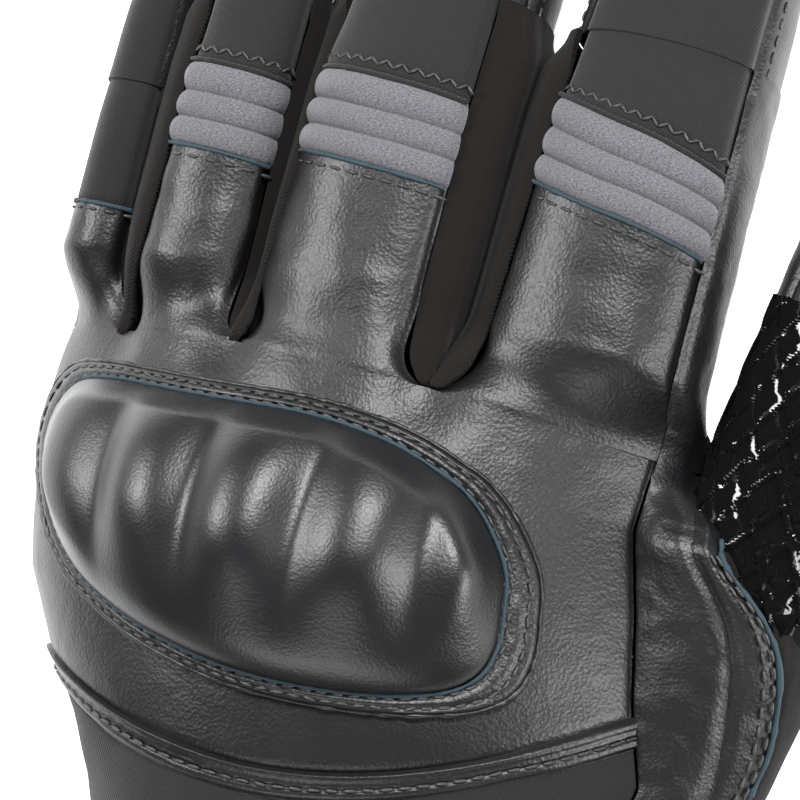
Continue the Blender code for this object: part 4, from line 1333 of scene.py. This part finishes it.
def tip_cover(name, form, first, wall):
    """Leather all the way round a finger's end, sunk along a seam on both sides and closed over the tip."""
    rows, columns = 70, 96
    v, u = np.meshgrid(np.linspace(0, 1, rows), np.linspace(0, 1, columns + 1), indexing="ij")
    turn = np.clip((v - 0.6) / 0.4, 0, 1)
    s = np.where(v < 0.6, first + (form.total - form.round - first) * v / 0.6,
                 form.total - form.round + form.round * np.sin(turn * np.pi / 2))
    base = form.point(s, 360.0 * u)
    seam = np.minimum(np.abs(u * 360.0 - 30.0), np.abs(u * 360.0 - 150.0)) * form.half[0] * 0.017
    lift = 0.16 * drift(base, 4.0, 3.0) - 0.6 * np.exp(-((seam / 0.8) ** 2)) * (1 - turn**2)
    places = form.point(s, 360.0 * u, lift)
    places[:, -1] = places[:, 0]
    places[-1] = places[-1].mean(axis=0)
    outward = form.point(s, 360.0 * u, lift + 1.0)[20, 48] - places[20, 48]
    return grid(name, places, "leather", wall, closed=True, outward=outward)


def hem():
    """The hem over the wrist: a rolled edge of leather and a flat stitched band under it."""
    def roll_surface(v, u, lift):
        degrees = SEAM_THUMB + (SEAM_LITTLE - SEAM_THUMB) * u
        return HAND.point(meeting(hem_y, degrees) + 0.7 - HEM_WIDTH * v * 1.05, degrees, lift)

    def ridge(places, v, u):
        top = 1.15 * np.exp(-(((v - 0.10) / 0.13) ** 2))
        band = 0.55 * ease((v - 0.14) / 0.14)
        row = -0.30 * np.exp(-(((v - 0.58) / 0.06) ** 2))
        return top + band + row + 0.10 * drift(places, 2.6, 3.0) * ease(v * 4)

    piece = cover(
        "hem_band", roll_surface, 60, 170, "leather", 0.0013, roll="SE", drop=0.9, width=0.55, extra=ridge
    )
    stand(piece, "leather", "hand", "back_hem")
    line, up = surface_line(roll_surface, 0.58, (0.01, 0.99), 0.62, 400)
    stand(stitches("hem_stitches", line, up, thread_sizes(0.95), seed=51, jitter=0.05), "leather", "hand")


def wrist_back():
    surface = back_surface(level(WRIST_END), lambda x: hem_y(x) - HEM_WIDTH + 1.0)
    extra = lambda places, v, u: 0.5 * drift(places, 12.0, 2.0) * ease(v * 6) + 0.2 * drift(places, 5.0, 6.0)
    piece = cover("wrist_softshell", surface, 70, 110, "softshell", 0.0016, flat=-0.4, roll="R", extra=extra)
    stand(piece, "softshell", "hand", "wrist_back_panel")


def hand_sides():
    wall = bpy.context.scene.glove_sizes.leather_wall
    surface = back_surface(level(WRIST_END), lambda x: junction_y(x) - 0.2, SEAM_LITTLE, PALM_LITTLE)
    piece = cover("little_side_leather", surface, 120, 30, "leather", wall, roll="LR", extra=relief(0.7))
    stand(piece, "leather", "hand", "little_side_panel")
    surface = back_surface(level(WRIST_END), level(-13.0), PALM_THUMB, SEAM_THUMB)
    piece = cover("thumb_side_softshell", surface, 50, 50, "softshell", wall, roll="LR")
    stand(piece, "softshell", "hand", "thumb_side_wrist_panel")


def palm():
    wall = bpy.context.scene.glove_sizes.leather_wall
    surface = back_surface(level(WRIST_END), lambda x: junction_y(x) - 2.0, PALM_LITTLE, 360.0 + PALM_THUMB)
    piece = cover("palm_leather", surface, 120, 110, "leather", wall, roll="LR", extra=relief(0.6))
    stand(piece, "leather", "hand", "palm_panel")


def smooth_path(points, share):
    """Places along a smooth line through points, at shares of the way along it."""
    keys = np.linspace(0.0, 1.0, len(points))
    return smooth_rows(np.column_stack((keys, points)), share)


def seam_on_hand(share):
    """The hand's own seam beside the thumb's root, from the index finger down to the wrist."""
    y = smooth_path(THUMB_SEAM[:, 1:2], share)[..., 0] - 1.0 * np.sin(np.pi * np.asarray(share))
    return index_side(y, 0.0, 0.25 * (1 - ease(share / 0.2)))


def outer_seam(share):
    """The outer seam of the leather at the thumb's root. It leaves the index finger's side smoothly."""
    line = smooth_path(THUMB_SEAM, share)
    apart = ease((share - 0.04) / 0.16)[..., None]
    return index_side(line[..., 1], 0.40, 0.3) * (1 - apart) + line * apart


def root_surface(first, last):
    """The leather between the hand's seam and the thumb's outer seam. u runs outwards between two shares."""

    def surface(v, u, lift):
        share = first + (last - first) * u
        inner, outer = seam_on_hand(v), outer_seam(v)
        places = inner + (outer - inner) * share[..., None]
        rise = 1.6 * np.sin(np.pi * share) * ease(v / 0.3)
        places[..., 2] += 1.3 * np.sin(np.pi * share) ** 0.6 * ease(v / 0.3)
        outwards = rise * 0.3 + 1.4 * np.sin(np.pi * share) * (1 - ease(v / 0.3))
        places = places + outwards[..., None] * (1.0, 0, 0)
        places[..., 2] += rise + lift
        return places

    return surface


def root_outside(v, u, lift):
    """The outer face of the thumb's root: over its widest line and down to the palm."""
    top, widest = outer_seam(v), smooth_path(THUMB_WIDEST, v)
    apart = ease((v - 0.10) / 0.16)[..., None]
    widest = index_side(widest[..., 1], 0.62, -0.6) * (1 - apart) + widest * apart
    low = widest + (top - widest) * (0.5, 0.5, 0.0) + np.array((-6.0, 1.0, -12.0)) * (0.35 + 0.65 * apart)
    t = u[..., None]
    places = top * (1 - t) * (1 - 2 * t) + widest * 4 * t * (1 - t) + low * t * (2 * t - 1)
    places[..., 0] += lift * np.sin(np.pi * np.clip(u, 0, 1)) * 0.8
    places[..., 2] += lift * np.cos(np.pi * np.clip(u, 0, 1)) * 0.6
    return places


def root_under(v, u, lift):
    """The underside of the thumb's root, from the outer face's lower seam in to the palm."""
    start = root_outside(v, np.ones_like(v), np.zeros_like(v))
    y = start[..., 1]
    end = HAND.point(y, PALM_THUMB + 4.0)
    places = start + (end - start) * u[..., None]
    places[..., 2] -= 3.0 * np.sin(np.pi * u) + lift
    return places


def wrinkles(depth):
    """Leather drawn into folds where the thumb bends."""

    def relief_of(places, v, u):
        bend_v = 1.0 + 0.8 * ease((v - 0.3) / 0.5)
        long = np.stack((places[..., 0] * 0.5, places[..., 1] * 1.3, places[..., 2] * 0.6), -1)
        fold = drift(long, 3.0, 3.0)
        ridge = 1.0 - 2.0 * np.abs(fold)
        fine, broad = drift(places, 1.7, 8.0), drift(places, 7.0, 4.0)
        return depth * bend_v * (0.55 * ridge + 0.25 * fine + 0.5 * broad)

    return relief_of


def thumb_root():
    wall = bpy.context.scene.glove_sizes.leather_wall
    surface = root_surface(0.0, 0.66)
    piece = cover("index_strip", surface, 150, 60, "leather", wall, roll="RS", drop=0.7, extra=wrinkles(0.26))
    stand(piece, "leather", "hand", "index_side_strip")
    surface = root_surface(0.66, 1.0)
    piece = cover("thumb_gusset_leather", surface, 150, 40, "leather", wall, roll="LR", extra=wrinkles(0.26))
    stand(piece, "leather", "hand", "thumb_gusset_back")
    for row, u in (("inner", 0.70), ("outer", 0.90)):
        line, up = surface_line(surface, (0.30, 0.97), u, 0.35, 200)
        made = stitches(f"thumb_seam_stitches_{row}", line, up, thread_sizes(0.95), seed=61)
        stand(made, "leather", "hand")
    line, up = surface_line(surface, (0.22, 0.97), 1.0, 0.1, 200)
    stand(cord_along("thumb_seam_cut_edge", line, 0.42, "edge", wobble=0.5, normals=up), "leather", "hand")
    extra = lumps((0.3, 6.0, 2.0), (0.12, 2.5, 5.0))
    piece = cover("thumb_root_twill", root_outside, 110, 60, "thumb_twill", 0.0012, roll="LR", extra=extra)
    stand(piece, "twill", "hand")
    piece = grip_cover("thumb_gusset_grip", root_under, 150, 110)
    stand(piece, "grip_print", "hand", "thumb_gusset_palm")


def grip_cover(name, surface, rows, columns):
    """Suede with a raised net of printed lines."""
    v, u = np.meshgrid(np.linspace(0, 1, rows), np.linspace(0, 1, columns), indexing="ij")
    base = surface(v, u, 0.0)
    across = steps_across(base) * UNIT * 1000
    along = steps(base) * UNIT * 1000
    across = across - across.mean(axis=1, keepdims=True)
    rise = 0.55 * grip_rise(across, along)
    far = np.minimum(u, 1 - u) * across.max() * 2
    lift = rise - 0.8 * np.exp(-((far / 1.4) ** 2)) + 0.25 * drift(base, 5.0, 3.0)
    middle = (rows // 2, columns // 2)
    outward = surface(v, u, lift + 1.0)[middle] - surface(v, u, lift)[middle]
    return grid(name, surface(v, u, lift), "grip_print", 0.0012, outward=outward)


def thumb():
    hinge = THUMB_HINGE
    zone_base = (("hand", "thumb_base_body"), [hinge + THUMB.way[0] * reach for reach in THUMB_HINGE_REACH])
    at = float(THUMB.hinges[1])
    place, way, _ = THUMB.frame(at)
    zone_tip = (("thumb_base_body", "thumb_tip_body"), (place - way * THUMB_REACH, place + way * THUMB_REACH))
    first, split, twill_end = -9.0, (THUMB_HINGE_REACH[1] + at - THUMB_REACH) / 2, at + 12.0

    def part(low, high, first_s, last_s):
        def surface(v, u, lift):
            return THUMB.point(first_s + (last_s - first_s) * v, low + (high - low) * u, lift)

        return surface

    extra = lumps((0.35, 7.0, 2.0), (0.15, 2.5, 5.0))
    for label, first_s, last_s, zone, nodes in (
        ("base", first, split, zone_base, ("thumb_base_back",)),
        ("tip", split, twill_end, zone_tip, ()),
    ):
        surface = part(-90.0, 64.0, first_s, last_s)
        piece = cover(f"thumb_{label}_twill", surface, 60, 60, "thumb_twill", 0.0013, roll="LR", extra=extra)
        bend(piece, "twill", *zone, *nodes)
        piece = grip_cover(f"thumb_{label}_grip", part(62.0, 270.0, first_s, last_s), 180, 150)
        bend(piece, "grip_print", *zone, *(("thumb_base_palm",) if label == "base" else ()))
    wall = bpy.context.scene.glove_sizes.leather_wall
    piece = tip_cover("thumb_tip_leather", THUMB, twill_end, wall)
    bend(piece, "leather", *zone_tip, "thumb_tip")


def cuff():
    extra = lumps((0.4, 10.0, 2.0), (0.15, 4.0, 5.0))
    for label, look, low in (("back", "softshell", 0.5), ("palm", "leather", 180.5)):

        def surface(v, u, lift, low=low):
            return CUFF.point(-92.8 + 53.8 * v, low + 179.0 * u, lift)

        piece = cover(f"cuff_{label}_{look}", surface, 80, 110, look, 0.0016, roll="LRE", extra=extra)
        stand(piece, look, "cuff", f"cuff_{label}_panel")
    rows = (-92.6, -93.4, -95.5, -97.6, -98.3, -97.6, -95.5, -93.4, -92.6)
    heights = (0.1, 0.9, 1.25, 1.0, -0.8, -2.6, -2.9, -2.6, -2.2)
    piece = loop_round("cuff_bound_edge", CUFF, rows, heights, "softshell")
    stand(piece, "softshell", "cuff", "cuff_binding")
    degrees = np.linspace(0, 360, 500)
    line = CUFF.point(-94.2, degrees, 1.2)
    up = CUFF.point(-94.2, degrees, 2.2) - line
    stand(stitches("cuff_edge_stitches", line, up, thread_sizes(1.1), seed=71), "softshell", "cuff")
    rows = np.linspace(-92.6, -46.0, 24)
    piece = loop_round("cuff_lining_cloth", CUFF, rows, np.full(rows.shape, -3.1), "lining", wall=0.0008)
    stand(piece, "lining", "cuff", "cuff_lining")


def band(name, form, low, high, rows, lift, wall, look, corner=0.0, columns=60, extra=None):
    """A flat strip lying round a level form, with rounded ends and edges."""
    def surface(v, u, rise):
        degrees = low + (high - low) * u
        size = 1.0 - corner * np.clip(1 - (u * (1 - u)) * 26, 0, 1) ** 2
        y = (rows[0] + rows[1]) / 2 + (rows[1] - rows[0]) * (v - 0.5) * size
        return form.point(y, degrees, rise)

    return cover(name, surface, 26, columns, look, wall, drop=0.45, width=0.7, flat=lift, extra=extra)


def strap():
    extra = lumps((0.15, 4.0, 2.0))
    piece = band(
        "strap_leather", CUFF, 38.0, 148.0, STRAP_Y, 5.4, 0.0018, "leather", columns=110, extra=extra
    )
    stand(piece, "leather", "strap", "wrist_strap")
    for side, y in (("wrist", STRAP_Y[0] + 2.2), ("hand", STRAP_Y[1] - 2.2)):
        degrees = np.linspace(40.0, 146.0, 300)
        line = CUFF.point(y, degrees, 5.5)
        up = CUFF.point(y, degrees, 6.5) - line
        stand(stitches(f"strap_stitches_{side}", line, up, thread_sizes(1.1), seed=81), "leather", "strap")
    grooves = lambda places, v, u: 0.35 * np.sin(u * math.pi * 10) * (1 - (2 * v - 1) ** 4)
    piece = band(
        "strap_pull_tab", CUFF, 25.0, 37.5, STRAP_Y, 5.9, 0.0026, "rubber", corner=0.3, columns=30,
        extra=grooves,
    )
    stand(piece, "rubber", "strap", "strap_tab")
    for name, low, high, rows, height, wall, look, body, node in (
        ("hook_tape", 50.0, 76.0, TAPE_Y, 3.2, 0.0010, "hook_loop", "strap", "hook_pad"),
        ("loop_tape", 48.0, 84.0, TAPE_Y, 1.6, 0.0010, "hook_loop", "cuff", "loop_pad"),
        ("strap_sewn_end", 149.0, 164.0, STRAP_Y, 2.6, 0.0018, "leather", "cuff", "strap_anchor"),
    ):
        stand(band(name, CUFF, low, high, rows, height, wall, look), look, body, node)


def pull_loop():
    t = np.linspace(0, 1, 60)[:, None]
    out = np.sin(np.pi * t)
    degrees = np.linspace(262.5, 277.5, 14)
    places = CUFF.point(-94.0 - 15.5 * out, degrees[None, :], 0.4 + 1.6 * (1 - t) * out)
    piece = grid("pull_loop_webbing", places, "twill", 0.0010, outward=(0, 0, -1))
    stand(piece, "twill", "cuff", "pull_loop")


def linings():
    rows = np.linspace(-49.0, -16.5, 20)
    piece = loop_round("wrist_lining_cloth", HAND, rows, np.full(rows.shape, -3.6), "lining", wall=0.0007)
    stand(piece, "lining", "hand", "wrist_lining")
    surface = back_surface(level(-14.0), level(66.0), SEAM_THUMB + 6.0, SEAM_LITTLE)
    piece = cover("back_lining_cloth", surface, 60, 60, "lining", 0.0007, roll="", flat=-3.8)
    stand(piece, "lining", "hand", "back_lining")
    share, x, y = guard_rings(np.linspace(0.0, 0.9, 30), 120)
    top = guard_point(x, y, 1.0 + guard_lift(share, x, y) * 0.75)
    top[:, -1] = top[:, 0]
    top[0] = top[0].mean(axis=0)
    piece = grid("guard_foam", top, "foam", 0.0008, closed=True, outward=(0, 0, 1))
    stand(piece, "foam", "hand", "knuckle_foam")


def palm_pads():
    """A grip patch and a slider on the palm, each with a bevelled edge."""
    for node, look, bevel in (("palm_patch", "grip_print", 0.0007), ("heel_slider", "rubber", 0.0018)):
        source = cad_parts[node]
        piece = source.copy()
        piece.data = source.data.copy()
        piece.name = piece.data.name = node + "_finished"
        piece.parent = None
        bpy.context.scene.collection.objects.link(piece)
        piece.hide_render = piece.hide_viewport = False
        apply(piece, "WELD", merge_threshold=0.00001)
        apply(piece, "BEVEL", width=bevel, segments=3, limit_method="ANGLE", angle_limit=math.radians(40))
        finish_mesh(piece, look)
        stand(piece, look, "hand", node)


# ---- the stage ----------------------------------------------------------------------------------


ROLL, SPREAD = 18.0, 15.0  # degrees: how far the camera leans to the thumb's side, and turns in its own plane
AIM = (10.5, 66.2, 32.2)  # where it looks, in millimetres
REACH, LENS, SENSOR = 0.62, 194.0, 36.0  # its distance in metres, then lens and sensor in millimetres
FLOOR_GLOW, WORLD_GLOW = 0.80, 0.07
# each light: where it stands, seen from the place the camera looks at, its size and its power
LIGHTS = {
    "key": ((0.10, 0.46, 0.56), (0.22, 0.22), 9.0),
    "fill": ((-0.55, 0.15, 0.45), (0.25, 0.25), 6.5),
    "side": ((0.60, 0.06, 0.26), (0.22, 0.3), 4.5),
    "low": ((0.02, -0.52, 0.40), (0.5, 0.3), 2.6),
}


def area_light(name, place, target, size, power):
    light = bpy.data.lights.new(name, "AREA")
    light.shape = "RECTANGLE"
    light.size, light.size_y = size
    light.energy = power
    holder = bpy.data.objects.new(name, light)
    holder.location = place
    holder.rotation_euler = (Vector(target) - Vector(place)).to_track_quat("-Z", "Y").to_euler()
    bpy.context.scene.collection.objects.link(holder)


def stage():
    for name in ("Cube", "Light", "Camera"):
        if name in bpy.data.objects:
            bpy.data.objects.remove(bpy.data.objects[name])
    look = Look("studio_floor")
    tone = bpy.context.scene.glove_colours.floor
    cloud = look.noise(look.place(), 3.0, 2.0)
    look.set(Base_Color=look.mix(cloud, shade(tone, 0.985), tone), Roughness=0.9 + cloud * 0.05)
    look.set(Emission_Color=(1.0, 1.0, 1.0, 1.0), Emission_Strength=FLOOR_GLOW)
    low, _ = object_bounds()
    nothing_selected()
    bpy.ops.mesh.primitive_plane_add(size=8.0, location=(0.0, 0.0, low[2] - 0.0003))
    floor = bpy.context.object
    floor.name = "studio_floor"
    bpy.ops.object.transform_apply(location=True, rotation=True, scale=True)
    floor.data.materials.append(look.material)
    floor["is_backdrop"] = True
    world = bpy.data.worlds.new("studio")
    world.use_nodes = True
    background = world.node_tree.nodes["Background"]
    background.inputs["Color"].default_value = (1.0, 1.0, 1.0, 1.0)
    background.inputs["Strength"].default_value = WORLD_GLOW
    bpy.context.scene.world = world
    aim = np.array(AIM) / 1000
    for name, (place, size, power) in LIGHTS.items():
        area_light(name, tuple(aim + place), tuple(aim), size, power)
    bpy.context.scene.view_settings.view_transform = "Standard"
    camera_at(aim)


def camera_at(aim):
    """The camera over the back of the hand, leaning to the thumb's side and turned in its own plane."""
    roll, spread = math.radians(ROLL), math.radians(SPREAD)
    back = np.array((math.sin(roll), 0.0, math.cos(roll)))
    u, v = np.array((math.cos(roll), 0.0, -math.sin(roll))), np.array((0.0, 1.0, 0.0))
    right = math.cos(spread) * u + math.sin(spread) * v
    up = -math.sin(spread) * u + math.cos(spread) * v
    camera = bpy.data.cameras.new("camera")
    camera.lens, camera.sensor_width = LENS, SENSOR
    camera.clip_start = 0.01
    holder = bpy.data.objects.new("camera", camera)
    place = aim + back * REACH
    turn = Matrix((right, up, back)).transposed().to_4x4()
    holder.matrix_world = Matrix.Translation(place) @ turn
    bpy.context.scene.collection.objects.link(holder)
    bpy.context.scene.camera = holder


# ---- operators ----------------------------------------------------------------------------------


def operator(idname, label, about, make):
    """An operator class that makes one group of pieces."""

    def execute(self, context):
        make()
        return {"FINISHED"}

    members = {"bl_idname": f"glove.{idname}", "bl_label": label, "__doc__": about, "execute": execute}
    return type("GLOVE_OT_" + idname, (bpy.types.Operator,), members)


STEPS = (
    ("looks", "Finishes", "Makes the leather, cloth, thread and rubber finishes", make_looks),
    ("stage", "Stage", "Adds the floor, the studio lights and the camera", stage),
    ("back_leather", "Back leather", "Makes the leather over the back of the hand", back_leather),
    ("knuckle_guard", "Knuckle guard", "Makes the moulded guard", knuckle_guard),
    ("flange", "Flange", "Makes the ring round the guard and its stitching", flange),
    ("finger_leather", "Finger leather", "Makes the leather over each finger's base", finger_leather),
    ("finger_walls", "Finger walls", "Makes the twill between the fingers", finger_walls),
    ("finger_palm", "Finger palms", "Makes the palm side of each finger", finger_palm),
    ("finger_ribs", "Ribbed panels", "Makes the grey padded panels", finger_ribs),
    ("finger_mids", "Finger knit", "Makes the knit beyond the ribs", finger_mids),
    ("finger_tips", "Fingertips", "Makes the leather fingertips", finger_tips),
    ("hem", "Hem", "Makes the rolled hem over the wrist", hem),
    ("wrist_back", "Wrist", "Makes the softshell over the wrist", wrist_back),
    ("hand_sides", "Hand sides", "Makes the panels down both sides of the hand", hand_sides),
    ("palm", "Palm", "Makes the palm", palm),
    ("thumb_root", "Thumb root", "Makes the leather round the thumb's root", thumb_root),
    ("thumb", "Thumb", "Makes the thumb", thumb),
    ("cuff", "Cuff", "Makes the cuff, its bound edge and its lining", cuff),
    ("strap", "Strap", "Makes the wrist strap and its pads", strap),
    ("pull_loop", "Pull loop", "Makes the loop at the cuff's mouth", pull_loop),
    ("linings", "Linings", "Makes the linings and the guard's foam", linings),
    ("palm_pads", "Palm pads", "Finishes the grip patch and the slider", palm_pads),
)
OPERATORS = [operator(*step) for step in STEPS]


class GLOVE_PT_panel(bpy.types.Panel):
    """Lists the steps that make the glove."""

    bl_idname = "GLOVE_PT_panel"
    bl_label = "Riding glove"
    bl_space_type = "VIEW_3D"
    bl_region_type = "UI"
    bl_category = "Glove"

    def draw(self, context):
        for idname, label, _, _ in STEPS:
            self.layout.operator(f"glove.{idname}", text=label)


CLASSES = [GloveColours, GloveSizes, *OPERATORS, GLOVE_PT_panel]


def register():
    for item in CLASSES:
        bpy.utils.register_class(item)
    bpy.types.Scene.glove_colours = PointerProperty(type=GloveColours)
    bpy.types.Scene.glove_sizes = PointerProperty(type=GloveSizes)


def unregister():
    del bpy.types.Scene.glove_sizes
    del bpy.types.Scene.glove_colours
    for item in reversed(CLASSES):
        bpy.utils.unregister_class(item)


def main():
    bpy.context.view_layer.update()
    register()
    for idname, *_ in STEPS:
        getattr(bpy.ops.glove, idname)()


if __name__ == "__main__":
    main()
